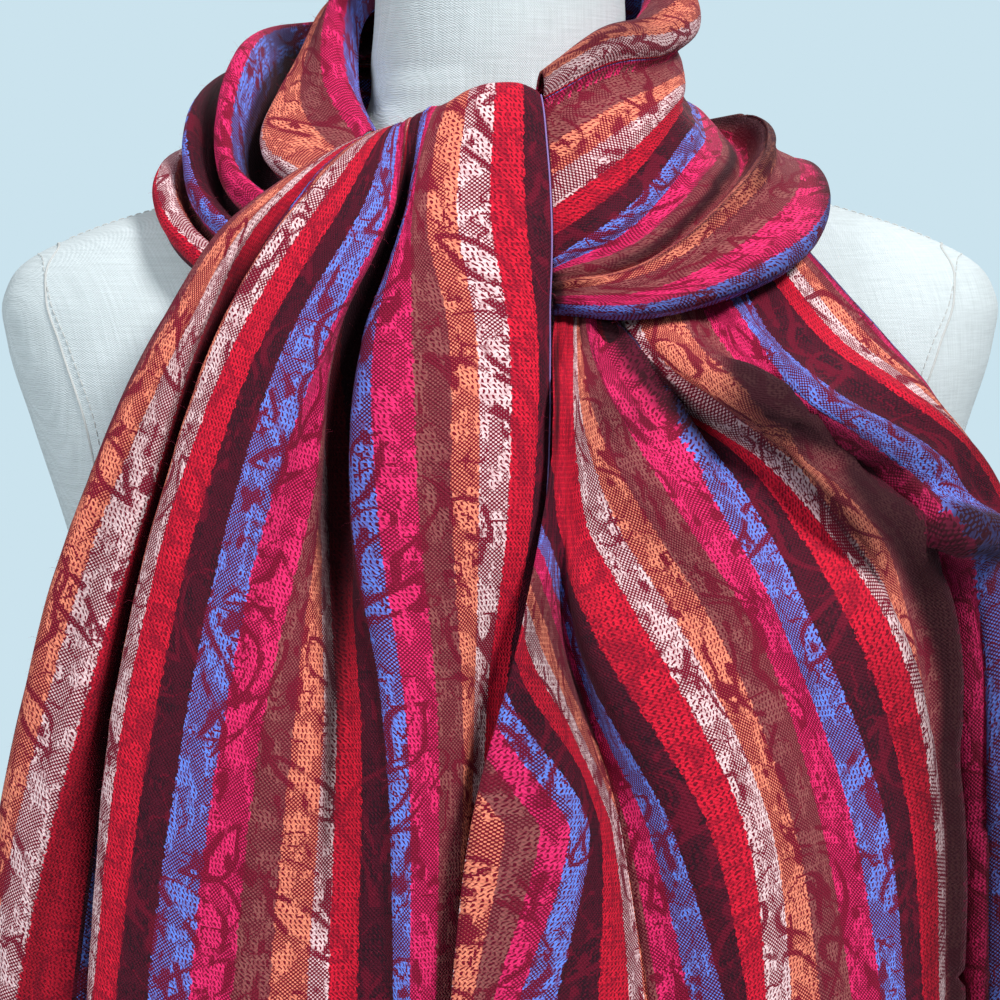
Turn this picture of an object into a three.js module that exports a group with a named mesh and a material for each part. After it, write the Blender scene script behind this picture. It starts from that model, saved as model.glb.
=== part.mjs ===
// A pashmina scarf looped round the neck of a limbless dress form, in millimetres.
// +Z is up and the wearer's front faces -Y. The base rests on the plane z = 0.
import * as THREE from 'three';

// ---------------------------------------------------------------- driving sizes
const WALL = 1.4; // thickness of the cloth wall
const SEAM_GAP = 0.3; // gap left between neighbouring pieces
const NECK_RADIUS = 50;
const NECK_TOP = 872;
const TORSO_BOTTOM = 130;
const BASE_RADIUS = 150;
const BASE_HEIGHT = 20;
const POLE_RADIUS = 16;
const HEM = 205; // height of the tails' hems

// Distance of a wall's middle from the form where it rests on it
const REST = WALL / 2 + 0.35;

// ---------------------------------------------------------------- smooth curves
// Value at t of the smooth curve that passes through values at the given knots.
function through(knots, values, t) {
  const last = knots.length - 1;
  let i = 0;
  while (i < last - 1 && t > knots[i + 1]) i += 1;
  const rise = (k) => (values[k + 1] - values[k]) / (knots[k + 1] - knots[k]);
  const slope = (k) => {
    if (k === 0) return rise(0);
    if (k === last) return rise(last - 1);
    const before = knots[k] - knots[k - 1];
    const after = knots[k + 1] - knots[k];
    return (rise(k - 1) * after + rise(k) * before) / (before + after);
  };
  const span = knots[i + 1] - knots[i];
  const s = (t - knots[i]) / span;
  const startWeight = (1 + 2 * s) * (1 - s) ** 2;
  const endWeight = s * s * (3 - 2 * s);
  const startTurn = s * (1 - s) ** 2 * span * slope(i);
  const endTurn = s * s * (s - 1) * span * slope(i + 1);
  return startWeight * values[i] + endWeight * values[i + 1] + startTurn + endTurn;
}

// Column of a table as a function of another column.
function column(table, along, name) {
  const knots = table.map((row) => row[along]);
  const values = table.map((row) => row[name]);
  return (t) => through(knots, values, Math.min(Math.max(t, knots[0]), knots[knots.length - 1]));
}

// ---------------------------------------------------------------- the form
// One row for each level of the torso; front and back are depths from the middle.
const torsoLevels = [
  { height: TORSO_BOTTOM, halfWidth: 152, front: 84, back: 96 },
  { height: 190, halfWidth: 166, front: 92, back: 112 },
  { height: 280, halfWidth: 154, front: 90, back: 102 },
  { height: 380, halfWidth: 121, front: 82, back: 80 },
  { height: 470, halfWidth: 134, front: 92, back: 82 },
  { height: 560, halfWidth: 155, front: 104, back: 90 },
  { height: 620, halfWidth: 171, front: 94, back: 93 },
  { height: 660, halfWidth: 184, front: 78, back: 90 },
  { height: 690, halfWidth: 193, front: 66, back: 84 },
  { height: 708, halfWidth: 194, front: 58, back: 76 },
  { height: 722, halfWidth: 184, front: 51, back: 68 },
  { height: 734, halfWidth: 158, front: 47, back: 62 },
  { height: 748, halfWidth: 112, front: 45, back: 58 },
  { height: 762, halfWidth: 71, front: 46, back: 55 },
  { height: 776, halfWidth: 54, front: 48, back: 52 },
  { height: 800, halfWidth: NECK_RADIUS, front: NECK_RADIUS, back: NECK_RADIUS },
  { height: NECK_TOP, halfWidth: NECK_RADIUS - 2, front: NECK_RADIUS - 2, back: NECK_RADIUS - 2 },
];
const torsoHalfWidth = column(torsoLevels, 'height', 'halfWidth');
const torsoFront = column(torsoLevels, 'height', 'front');
const torsoBack = column(torsoLevels, 'height', 'back');
const SQUARENESS = 2.25; // 2 is an ellipse, more is squarer

// Depth of the torso's front face at x on a level.
function chestDepth(x, height) {
  const across = Math.min(Math.abs(x) / torsoHalfWidth(height), 1);
  return torsoFront(height) * (1 - across ** SQUARENESS) ** (1 / SQUARENESS);
}

function torsoRing(height, segments) {
  const ring = [];
  const round = height > 790 ? 2 : SQUARENESS;
  for (let i = 0; i < segments; i += 1) {
    const turn = (i / segments) * 2 * Math.PI;
    const c = Math.cos(turn);
    const s = Math.sin(turn);
    const depth = s < 0 ? torsoFront(height) : torsoBack(height);
    const x = torsoHalfWidth(height) * Math.sign(c) * Math.abs(c) ** (2 / round);
    const y = depth * Math.sign(s) * Math.abs(s) ** (2 / round);
    ring.push([x, y, height]);
  }
  return ring;
}

function geometryFrom(points, faces) {
  const geometry = new THREE.BufferGeometry();
  geometry.setAttribute('position', new THREE.Float32BufferAttribute(points.flat(), 3));
  geometry.setIndex(faces.flat());
  geometry.computeVertexNormals();
  return geometry;
}

function torsoGeometry() {
  const segments = 40;
  const steps = 2; // rings for each row of the table
  const points = [];
  const faces = [];
  const heights = [];
  torsoLevels.slice(1).forEach((level, k) => {
    const below = torsoLevels[k].height;
    for (let s = 0; s < steps; s += 1) heights.push(below + ((level.height - below) * s) / steps);
  });
  heights.push(NECK_TOP);
  heights.forEach((height) => points.push(...torsoRing(height, segments)));
  for (let k = 0; k < heights.length - 1; k += 1) {
    for (let i = 0; i < segments; i += 1) {
      const a = k * segments + i;
      const b = k * segments + ((i + 1) % segments);
      faces.push([a, b, b + segments], [a, b + segments, a + segments]);
    }
  }
  const top = points.length - segments;
  const bottomCentre = points.push([0, 0, TORSO_BOTTOM]) - 1;
  const topCentre = points.push([0, 0, NECK_TOP]) - 1;
  for (let i = 0; i < segments; i += 1) {
    const next = (i + 1) % segments;
    faces.push([bottomCentre, next, i], [topCentre, top + i, top + next]);
  }
  return geometryFrom(points, faces);
}

function lathe(profile, segments) {
  const outline = profile.map(([radius, height]) => new THREE.Vector2(radius, height));
  return new THREE.LatheGeometry(outline, segments).rotateX(Math.PI / 2);
}

function poleGeometry() {
  const bottom = BASE_HEIGHT + SEAM_GAP;
  const top = TORSO_BOTTOM - SEAM_GAP;
  const collar = 26;
  return lathe([[0, bottom], [collar, bottom], [collar, bottom + 12], [POLE_RADIUS, bottom + 18],
    [POLE_RADIUS, top - 8], [collar, top - 6], [collar, top], [0, top]], 32);
}

function baseGeometry() {
  return lathe([[0, 0], [BASE_RADIUS - 2, 0], [BASE_RADIUS, 2], [BASE_RADIUS, 12],
    [BASE_RADIUS - 6, 17], [60, BASE_HEIGHT], [0, BASE_HEIGHT]], 64);
}

// ---------------------------------------------------------------- cloth from a net of folds
// A net is an array of folds, each an array of [x, y, z] at the stations along the cloth.
function meanSteps(lines) {
  const knots = [0];
  for (let i = 1; i < lines.length; i += 1) {
    let total = 0;
    lines[i].forEach((point, j) => {
      const other = lines[i - 1][j];
      total += Math.hypot(point[0] - other[0], point[1] - other[1], point[2] - other[2]);
    });
    knots.push(knots[i - 1] + Math.max(total / lines[i].length, 1));
  }
  return knots;
}

function surface(net) {
  const stations = net[0].map((_, j) => net.map((fold) => fold[j]));
  const across = meanSteps(net);
  const along = meanSteps(stations);
  // a and b run from 0 to the number of folds or stations, less one
  const place = (knots, t) => {
    const i = Math.min(Math.floor(t), knots.length - 2);
    return knots[i] + (knots[i + 1] - knots[i]) * (t - i);
  };
  return (a, b) => [0, 1, 2].map((axis) => {
    const line = stations.map((folds) => through(across, folds.map((p) => p[axis]), place(across, a)));
    return through(along, line, place(along, b));
  });
}

function normalAt(sheet, a, b, mostA, mostB) {
  const step = 0.02;
  const difference = (from, to) => new THREE.Vector3(...to).sub(new THREE.Vector3(...from));
  const sideways = difference(sheet(Math.max(a - step, 0), b), sheet(Math.min(a + step, mostA), b));
  const down = difference(sheet(a, Math.max(b - step, 0)), sheet(a, Math.min(b + step, mostB)));
  return down.cross(sideways).normalize();
}

// Closed wall on both sides of a net's surface, between two stations.
function wallGeometry(net, perFold, perStation, firstStation, lastStation) {
  const sheet = surface(net);
  const mostA = net.length - 1;
  const mostB = net[0].length - 1;
  const columns = mostA * perFold;
  const rows = Math.round((lastStation - firstStation) * perStation);
  const points = [[], []];
  for (let j = 0; j <= rows; j += 1) {
    for (let i = 0; i <= columns; i += 1) {
      const a = i / perFold;
      const b = firstStation + ((lastStation - firstStation) * j) / rows;
      const middle = new THREE.Vector3(...sheet(a, b));
      const normal = normalAt(sheet, a, b, mostA, mostB);
      [1, -1].forEach((side, k) => {
        points[k].push(middle.clone().addScaledVector(normal, (side * WALL) / 2).toArray());
      });
    }
  }
  const width = columns + 1;
  const back = points[0].length;
  const faces = [];
  const quad = (p, q, r, s) => faces.push([p, q, r], [p, r, s]);
  for (let j = 0; j < rows; j += 1) {
    for (let i = 0; i < columns; i += 1) {
      const p = j * width + i;
      quad(p, p + width, p + width + 1, p + 1);
      quad(back + p, back + p + 1, back + p + width + 1, back + p + width);
    }
    const left = j * width;
    const right = left + columns;
    quad(left, back + left, back + left + width, left + width);
    quad(right, right + width, back + right + width, back + right);
  }
  for (let i = 0; i < columns; i += 1) {
    const foot = rows * width + i;
    quad(i, i + 1, back + i + 1, back + i);
    quad(foot, back + foot, back + foot + 1, foot + 1);
  }
  return geometryFrom([...points[0], ...points[1]], faces);
}

// ---------------------------------------------------------------- how the tails hang
// Depth of the hanging cloth's mean surface, and the half width over which it curves back.
const drapeLevels = [
  { height: HEM, depth: 128, halfWidth: 236 },
  { height: 330, depth: 131, halfWidth: 236 },
  { height: 464, depth: 135, halfWidth: 234 },
  { height: 570, depth: 131, halfWidth: 228 },
  { height: 640, depth: 123, halfWidth: 210 },
  { height: 700, depth: 112, halfWidth: 188 },
  { height: 740, depth: 103, halfWidth: 150 },
];
const drapeDepth = column(drapeLevels, 'height', 'depth');
const drapeHalfWidth = column(drapeLevels, 'height', 'halfWidth');

function drape(x, height) {
  const across = Math.min(Math.abs(x) / drapeHalfWidth(height), 0.985);
  return drapeDepth(height) * (1 - across ** 2.5) ** 0.4;
}

// A fold's places at each level: its x there, and its depth with its own lift out of the drape.
function hang(fold, levels) {
  return levels.map(({ name, height, lift, fullness, inset = 0 }) => {
    const x = fold[name];
    const depth = drape(x, height) - inset + fold[lift] * fullness;
    return [x, -Math.max(depth, chestDepth(x, height) + REST), height];
  });
}

// ---------------------------------------------------------------- front fan
// One row for each fold, from the selvedge beside the knot to the layer turned under.
// roll is its place on top of the loop, z740 to hem its x at those heights, and high and low
// how far it stands out of the drape above and below the bust.
const fanLevels = [
  { name: 'z740', height: 740, lift: 'high', fullness: 0.35 },
  { name: 'z700', height: 700, lift: 'high', fullness: 0.75 },
  { name: 'z640', height: 640, lift: 'high', fullness: 1 },
  { name: 'z570', height: 570, lift: 'low', fullness: 1 },
  { name: 'z464', height: 464, lift: 'low', fullness: 1.05 },
  { name: 'hem', height: HEM, lift: 'low', fullness: 1.3 },
];
const fanFolds = [
  { roll: [14.6, -79, 778], z740: 17.6, z700: 17.3, z640: 21,
    z570: 12, z464: 9, hem: 6, high: -15, low: -19 },
  { roll: [13, -80, 783], z740: 17, z700: 16.8, z640: 15, z570: 8, z464: 6, hem: 3, high: -6, low: -10 },
  { roll: [8, -81, 785.5], z740: 9, z700: 13, z640: 11.5, z570: 2, z464: 0, hem: -3, high: -2, low: -9 },
  { roll: [-10, -82, 783.5], z740: -15, z700: -8.5, z640: -7.5,
    z570: -9.5, z464: -11, hem: -14, high: 4, low: -6 },
  { roll: [-19, -81.5, 778.5], z740: -28, z700: -21, z640: -19.5,
    z570: -15.5, z464: -17, hem: -21, high: 5, low: -2 },
  { roll: [-24, -80.5, 777.5], z740: -31.5, z700: -43, z640: -42,
    z570: -33, z464: -31.5, hem: -36, high: 3, low: 3 },
  { roll: [-26, -79.8, 776.4], z740: -33, z700: -48.5, z640: -53,
    z570: -41, z464: -37, hem: -43, high: -5, low: 3 },
  { roll: [-28, -79, 775.3], z740: -34.5, z700: -51, z640: -56,
    z570: -53, z464: -57, hem: -63, high: -13, low: -5 },
  { roll: [-30, -78.2, 774.2], z740: -36.5, z700: -54, z640: -59.5,
    z570: -61, z464: -68, hem: -75, high: -12, low: -2 },
  { roll: [-32, -77.4, 773.3], z740: -38, z700: -56, z640: -66,
    z570: -81, z464: -94, hem: -100, high: -4, low: 4 },
  { roll: [-33.8, -76.6, 772.4], z740: -40, z700: -59, z640: -80,
    z570: -95, z464: -109, hem: -116, high: 6, low: 8 },
  { roll: [-35.6, -75.8, 771.6], z740: -49, z700: -72, z640: -92.5,
    z570: -108, z464: -124, hem: -131, high: 9, low: 10 },
  { roll: [-37.4, -75, 770.8], z740: -65, z700: -89.5, z640: -113,
    z570: -130, z464: -144, hem: -152, high: 10, low: 9 },
  { roll: [-39.2, -74.2, 770], z740: -74, z700: -97.5, z640: -119,
    z570: -136, z464: -147, hem: -155, high: 5, low: 4 },
  { roll: [-40.8, -73.5, 769.2], z740: -76, z700: -98, z640: -117,
    z570: -134, z464: -144, hem: -151, high: -5, low: -6 },
  { roll: [-42.3, -72.8, 768.4], z740: -80, z700: -102, z640: -121,
    z570: -140, z464: -165, hem: -171, high: -7, low: -4 },
  { roll: [-43.7, -72, 767.6], z740: -84, z700: -106, z640: -128,
    z570: -151, z464: -178, hem: -184, high: -1, low: 3 },
  { roll: [-45, -71, 766.6], z740: -88, z700: -113, z640: -143,
    z570: -165, z464: -188, hem: -195, high: 5, low: 3 },
  { roll: [-46, -69.5, 763.5], z740: -93, z700: -121, z640: -149,
    z570: -171, z464: -192, hem: -199, high: -5, low: -8 },
  { roll: [-43, -69, 757.5], z740: -88, z700: -115, z640: -142,
    z570: -164, z464: -184, hem: -190, high: -17, low: -19 },
  { roll: [-32, -70, 753.5], z740: -70, z700: -90, z640: -108,
    z570: -122, z464: -136, hem: -140, high: -21, low: -23 },
  { roll: [-20, -71, 752], z740: -52, z700: -64, z640: -74,
    z570: -82, z464: -90, hem: -92, high: -20, low: -22 },
];

// The end tucked down inside the loop lies against the neck, gathered narrower than the roll.
const TUCK_DEPTH = 24;
const TUCK_GATHER = 0.62;
function tucked([x, , z]) {
  const radius = NECK_RADIUS + 2 + REST;
  const turn = Math.asin((x * TUCK_GATHER) / radius);
  const across = radius * Math.sin(turn);
  const height = z - TUCK_DEPTH;
  return [across, -Math.max(radius * Math.cos(turn), chestDepth(across, height) + 2 * REST), height];
}

function fanNet() {
  return fanFolds.map((fold) => [tucked(fold.roll), fold.roll, ...hang(fold, fanLevels)]);
}

// ---------------------------------------------------------------- side tail
// From the left edge of the layer beside the fan to the layer turned under on the right.
// start is a fold's place under the loop, and top its lift out of the drape just below the loop;
// the other columns are as for the fan.
const tailLevels = [
  { name: 'z694', height: 694, lift: 'top', fullness: 0.5, inset: 16 },
  { name: 'z676', height: 676, lift: 'top', fullness: 1 },
  { name: 'z655', height: 655, lift: 'high', fullness: 1 },
  { name: 'z630', height: 630, lift: 'high', fullness: 1 },
  { name: 'z600', height: 600, lift: 'low', fullness: 0.8 },
  { name: 'z530', height: 530, lift: 'low', fullness: 1 },
  { name: 'z464', height: 464, lift: 'low', fullness: 1.05 },
  { name: 'hem', height: HEM, lift: 'low', fullness: 1.25 },
];
const tailFolds = [
  { start: [21, -76, 714], z694: 18.8, z676: 18.6, z655: 18, z630: 14,
    z600: 8, z530: -10, z464: -17.5, hem: -27, top: 0, high: 0, low: 8 },
  { start: [22, -76, 714], z694: 19.8, z676: 19.6, z655: 19, z630: 17,
    z600: 14, z530: 24, z464: 5, hem: -2, top: 0, high: 0, low: 12 },
  { start: [23, -76, 714], z694: 20.8, z676: 20.6, z655: 20, z630: 19,
    z600: 19, z530: 38, z464: 45, hem: 40, top: 0, high: 0, low: 5 },
  { start: [24, -76, 714], z694: 21.8, z676: 21.6, z655: 21, z630: 20.5,
    z600: 22, z530: 41, z464: 52, hem: 48, top: 0, high: 0, low: -5 },
  { start: [25, -76, 714], z694: 22.9, z676: 22.6, z655: 22, z630: 22,
    z600: 24.5, z530: 45, z464: 57, hem: 54, top: 0, high: 0, low: -3 },
  { start: [26, -76, 714], z694: 24.2, z676: 23.8, z655: 23.2, z630: 23.8,
    z600: 28, z530: 59, z464: 79, hem: 77, top: 0, high: 0, low: 7 },
  { start: [27, -76, 714], z694: 26, z676: 25.6, z655: 26.8, z630: 31,
    z600: 48, z530: 84, z464: 93, hem: 93, top: 0, high: 2, low: 9 },
  { start: [29, -75, 714], z694: 29, z676: 31, z655: 39, z630: 54,
    z600: 72.5, z530: 101, z464: 112, hem: 113, top: 3, high: 7, low: 6 },
  { start: [32, -75, 714], z694: 32.5, z676: 40, z655: 54, z630: 70,
    z600: 89.5, z530: 114, z464: 127, hem: 129, top: 9, high: 8, low: 3 },
  { start: [36, -75, 714], z694: 36, z676: 49, z655: 72, z630: 93,
    z600: 108, z530: 135, z464: 144, hem: 147, top: -19, high: -7, low: 5 },
  { start: [41, -74, 715], z694: 40, z676: 56, z655: 90, z630: 114,
    z600: 134, z530: 152.5, z464: 156, hem: 160, top: -21, high: -8, low: 7 },
  { start: [48, -73, 716], z694: 53, z676: 70, z655: 101, z630: 124,
    z600: 141, z530: 156.5, z464: 158.5, hem: 163, top: 6, high: 5, low: 5 },
  { start: [58, -71, 717], z694: 69, z676: 83, z655: 110, z630: 131,
    z600: 143, z530: 155, z464: 158, hem: 162, top: 10, high: -3, low: -18 },
  { start: [68, -67, 719], z694: 79, z676: 94, z655: 120, z630: 143,
    z600: 156, z530: 163, z464: 166, hem: 168, top: -5, high: -20, low: -34 },
  { start: [76, -63, 722], z694: 92, z676: 106, z655: 136, z630: 163,
    z600: 174, z530: 177, z464: 178, hem: 178, top: 8, high: 8, low: -5 },
  { start: [83, -59, 726], z694: 99, z676: 120, z655: 156, z630: 180,
    z600: 191, z530: 191, z464: 191, hem: 190, top: 2, high: 3, low: -4 },
  { start: [90, -55, 730], z694: 116, z676: 140, z655: 169, z630: 187,
    z600: 198, z530: 198, z464: 198, hem: 197, top: -5, high: -3, low: -9 },
  { start: [96, -51, 734], z694: 127, z676: 151, z655: 174, z630: 190,
    z600: 202, z530: 202, z464: 202, hem: 200, top: -11, high: -11, low: -17 },
  { start: [101, -47, 738], z694: 138, z676: 157, z655: 174, z630: 189,
    z600: 200, z530: 201, z464: 201, hem: 198, top: -21, high: -21, low: -28 },
  { start: [102, -44, 740], z694: 143, z676: 159, z655: 170, z630: 183,
    z600: 193, z530: 195, z464: 195, hem: 191, top: -31, high: -31, low: -39 },
  { start: [98, -42, 740], z694: 134, z676: 146, z655: 152, z630: 160,
    z600: 168, z530: 172, z464: 172, hem: 168, top: -38, high: -38, low: -46 },
];

function tailNet() {
  return tailFolds.map((fold) => [fold.start, ...hang(fold, tailLevels)]);
}

// ---------------------------------------------------------------- loop round the neck
// Places are [radius, height] at angles round the neck; 90 is the nape and -90 the throat.
// Rows run from the edge against the neck, over the folds, to the loop's rim.
function polar([radius, height], angle) {
  const turn = THREE.MathUtils.degToRad(angle);
  return [radius * Math.cos(turn), radius * Math.sin(turn), height];
}

const leftAngles = { nape: 100, back: 138, side: 180, front: 203, under: 226 };
const leftFolds = [
  { nape: [51.3, 836], back: [52, 826], side: [54, 810], front: [58, 784], under: [64, 767] },
  { nape: [55, 850], back: [60, 842], side: [60, 824], front: [65, 794], under: [70, 770] },
  { nape: [63, 848], back: [73, 836], side: [72, 809], front: [81, 779], under: [83, 760] },
  { nape: [69, 838], back: [82, 828], side: [80, 795], front: [97, 766], under: [97, 751] },
  { nape: [67, 828], back: [76, 808], side: [75, 778], front: [93, 754], under: [93, 742] },
  { nape: [72, 820], back: [88, 802], side: [86, 777], front: [97, 747], under: [98, 735] },
  { nape: [77, 815], back: [105, 818], side: [101, 799], front: [110, 760], under: [106, 738] },
  { nape: [77, 805], back: [109, 808], side: [107, 788], front: [112, 751], under: [106, 729] },
  { nape: [76, 797], back: [108, 795], side: [104, 773], front: [108, 741], under: [101, 722] },
  { nape: [81, 790], back: [121, 802], side: [119, 780], front: [119, 746], under: [106, 718] },
  { nape: [82, 778], back: [118, 789], side: [120, 770], front: [121, 739], under: [107, 712] },
  { nape: [80, 768], back: [111, 778], side: [118, 761], front: [120, 732], under: [102, 707] },
  { nape: [83, 758], back: [112, 768], side: [125, 763], front: [127, 736], under: [106, 705] },
  { nape: [86, 748], back: [112, 757], side: [131, 757], front: [132, 731], under: [110, 699.5] },
  { nape: [83, 741], back: [107, 749], side: [128, 750], front: [129, 724], under: [106, 694.5] },
];

const rightAngles = { nape: 80, back: 42, side: 4, front: -34, throat: -62, knot: -78.6 };
const rightFolds = [
  { nape: [51.3, 836], back: [52, 838], side: [55, 828],
    front: [57, 802], throat: [60, 786], knot: [64, 772] },
  { nape: [55, 850], back: [57, 852], side: [62, 840],
    front: [62, 812], throat: [64.5, 801], knot: [68, 785] },
  { nape: [63, 848], back: [66, 848], side: [73, 830],
    front: [70, 813], throat: [73, 805], knot: [75, 790] },
  { nape: [69, 838], back: [73, 836], side: [77, 816],
    front: [76, 802], throat: [78.5, 797], knot: [80.5, 785] },
  { nape: [67, 828], back: [71, 827], side: [69, 807],
    front: [70, 795], throat: [73.5, 787], knot: [78.5, 776] },
  { nape: [72, 820], back: [78, 818], side: [70, 799],
    front: [74, 788], throat: [80, 776], knot: [84.5, 763] },
  { nape: [77, 815], back: [83, 808], side: [69, 790],
    front: [78, 780], throat: [87, 757], knot: [91, 741] },
  { nape: [77, 805], back: [86, 798], side: [71, 781],
    front: [82, 769], throat: [92, 741], knot: [95, 724.5] },
  { nape: [76, 797], back: [88, 790], side: [78, 774],
    front: [84, 759], throat: [91, 732], knot: [94, 720.5] },
  { nape: [81, 790], back: [95, 787], side: [86, 770],
    front: [94, 753], throat: [97, 726], knot: [94.5, 718] },
  { nape: [82, 778], back: [96, 776], side: [94, 764],
    front: [98.5, 744], throat: [98, 719.5], knot: [94, 715.5] },
  { nape: [80, 768], back: [102, 776], side: [102.5, 778],
    front: [112, 755], throat: [107, 722], knot: [95, 713.5] },
  { nape: [83, 758], back: [101, 764], side: [106, 765],
    front: [113, 741], throat: [107, 714.5], knot: [95.5, 711.3] },
  { nape: [86, 748], back: [105, 757], side: [116, 762],
    front: [124.5, 734], throat: [111, 710.5], knot: [96, 709.2] },
  { nape: [83, 741], back: [104, 748], side: [122, 759],
    front: [131, 725], throat: [112, 706], knot: [95, 706.8] },
  { nape: [80, 737], back: [99, 742], side: [118, 756],
    front: [126, 719], throat: [106, 702.8], knot: [90, 704] },
];

function loopNet(folds, angles) {
  return folds.map((fold) => Object.keys(angles).map((name) => polar(fold[name], angles[name])));
}

// The stretch behind the neck joins the two others, from one nape station to the other.
function napeNet() {
  const gapAngle = THREE.MathUtils.radToDeg(SEAM_GAP / 51);
  const middleAngle = (leftAngles.nape + rightAngles.nape) / 2;
  return leftFolds.map((fold, i) => [
    polar(fold.nape, leftAngles.nape - gapAngle),
    polar(fold.nape.map((value, k) => (value + rightFolds[i].nape[k]) / 2), middleAngle),
    polar(rightFolds[i].nape, rightAngles.nape + gapAngle),
  ]);
}

// ---------------------------------------------------------------- scene
const linen = new THREE.MeshStandardMaterial({ color: 0xded9d0, roughness: 0.9 });
const woodStain = new THREE.MeshStandardMaterial({ color: 0x6b4a31, roughness: 0.5 });
const pashmina = new THREE.MeshStandardMaterial({ color: 0x9b1c3b, roughness: 0.8, side: THREE.DoubleSide });

const group = new THREE.Group();
function add(name, geometry, material) {
  const mesh = new THREE.Mesh(geometry, material);
  mesh.name = name;
  group.add(mesh);
}

add('form_torso', torsoGeometry(), linen);
add('form_pole', poleGeometry(), woodStain);
add('form_base', baseGeometry(), woodStain);
add('scarf_front_fan', wallGeometry(fanNet(), 2, 3, 0, 7), pashmina);
add('scarf_side_tail', wallGeometry(tailNet(), 2, 3, 0, 8), pashmina);
add('scarf_collar_left', wallGeometry(loopNet(leftFolds, leftAngles), 3, 3, 0, 4), pashmina);
add('scarf_collar_back', wallGeometry(napeNet(), 2, 2, 0, 2), pashmina);
add('scarf_collar_right', wallGeometry(loopNet(rightFolds, rightAngles), 2, 3, 0, 5), pashmina);

export default group;
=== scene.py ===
"""Looks of a pashmina scarf tied on a limbless linen dress form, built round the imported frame.

Tables and shape functions are in millimetres, as in the part's own source. Meshes are in metres.
"""

import math

import bpy
import numpy as np
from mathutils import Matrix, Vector, noise


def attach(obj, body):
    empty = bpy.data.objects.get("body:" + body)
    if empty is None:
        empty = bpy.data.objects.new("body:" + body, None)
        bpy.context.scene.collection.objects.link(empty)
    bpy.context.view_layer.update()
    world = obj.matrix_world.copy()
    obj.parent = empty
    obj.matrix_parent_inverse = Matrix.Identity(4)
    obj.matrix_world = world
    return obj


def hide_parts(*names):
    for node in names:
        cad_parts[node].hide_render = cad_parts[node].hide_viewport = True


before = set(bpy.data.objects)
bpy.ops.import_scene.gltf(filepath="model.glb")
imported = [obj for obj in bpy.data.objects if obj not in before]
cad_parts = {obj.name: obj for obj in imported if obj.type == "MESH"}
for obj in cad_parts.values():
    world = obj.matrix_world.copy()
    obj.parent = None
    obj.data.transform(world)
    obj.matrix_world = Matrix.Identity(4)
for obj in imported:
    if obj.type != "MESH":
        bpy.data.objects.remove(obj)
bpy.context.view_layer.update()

# ---- driving sizes
MM = 0.001
STRIPE = 14.0  # width of one woven stripe
THICKNESS = 1.0  # of the cloth
SEAM_GAP = 0.3
NECK_RADIUS = 50.0
NECK_TOP = 872.0
TORSO_BOTTOM = 130.0
HEM = 205.0
REST = 1.05  # distance of the cloth's middle from the form where it rests on it
BASE_RADIUS = 150.0
BASE_HEIGHT = 20.0
POLE_RADIUS = 16.0
COLLAR_RADIUS = 26.0  # of the pole's two ends
SQUARENESS = 2.25  # of the torso's rings: 2 is an ellipse, more is squarer
ROUND_ABOVE = 790.0  # the torso's rings are plain ellipses above this height
DRAPE_SQUARENESS = 2.5  # of the hanging cloth's level curves
TUCK_DEPTH = 24.0  # the fan's end goes this far down inside the loop
TUCK_GATHER = 0.62  # and is this much narrower there
CREASE_REACH = 1.6  # folds to either side that a crease may touch
SHADE_START = 2.5  # depth from which a trough is painted with shade
SHADE_FULL = 10.0  # depth at which its shade is full
SHADE_SHARE = 0.85  # of the open sky that full shade takes away
RIPPLE_HEIGHT = 0.55
CAP_HEIGHT = 660.0  # of the middle of the shoulder caps' seams
CAP_REACH = 68.0  # of a cap seam up and down from there
CAP_SWING = 34.0  # degrees that it goes to the front and back
CORD_RADIUS = 0.45  # of the thread laid in the form's seams
CORD_LIFT = 0.1  # of its middle from the linen
STITCH_RADIUS = 0.22
STITCH_PITCH = 3.4
STITCH_LENGTH = 2.4
SEAM_TOP = 778.0  # of the seam down the form's back
SEAM_HALF_WIDTH = 2.2
SELVEDGE_RADIUS = 0.3
SELVEDGE_COLUMN = 8  # of the fan's mesh
FIBRE_WIDTH = 0.06
FIBRE_COUNTS = {"fan": 6000, "tail": 6000, "left": 2600, "back": 300, "right": 2600}
FLOOR_RADIUS = 0.9  # m
CAMERA_HEIGHT = 0.740  # m
CAMERA_PITCH = 6.45  # degrees down
VIEW_SLOPE = 0.1968  # half the picture's width over its distance

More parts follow.
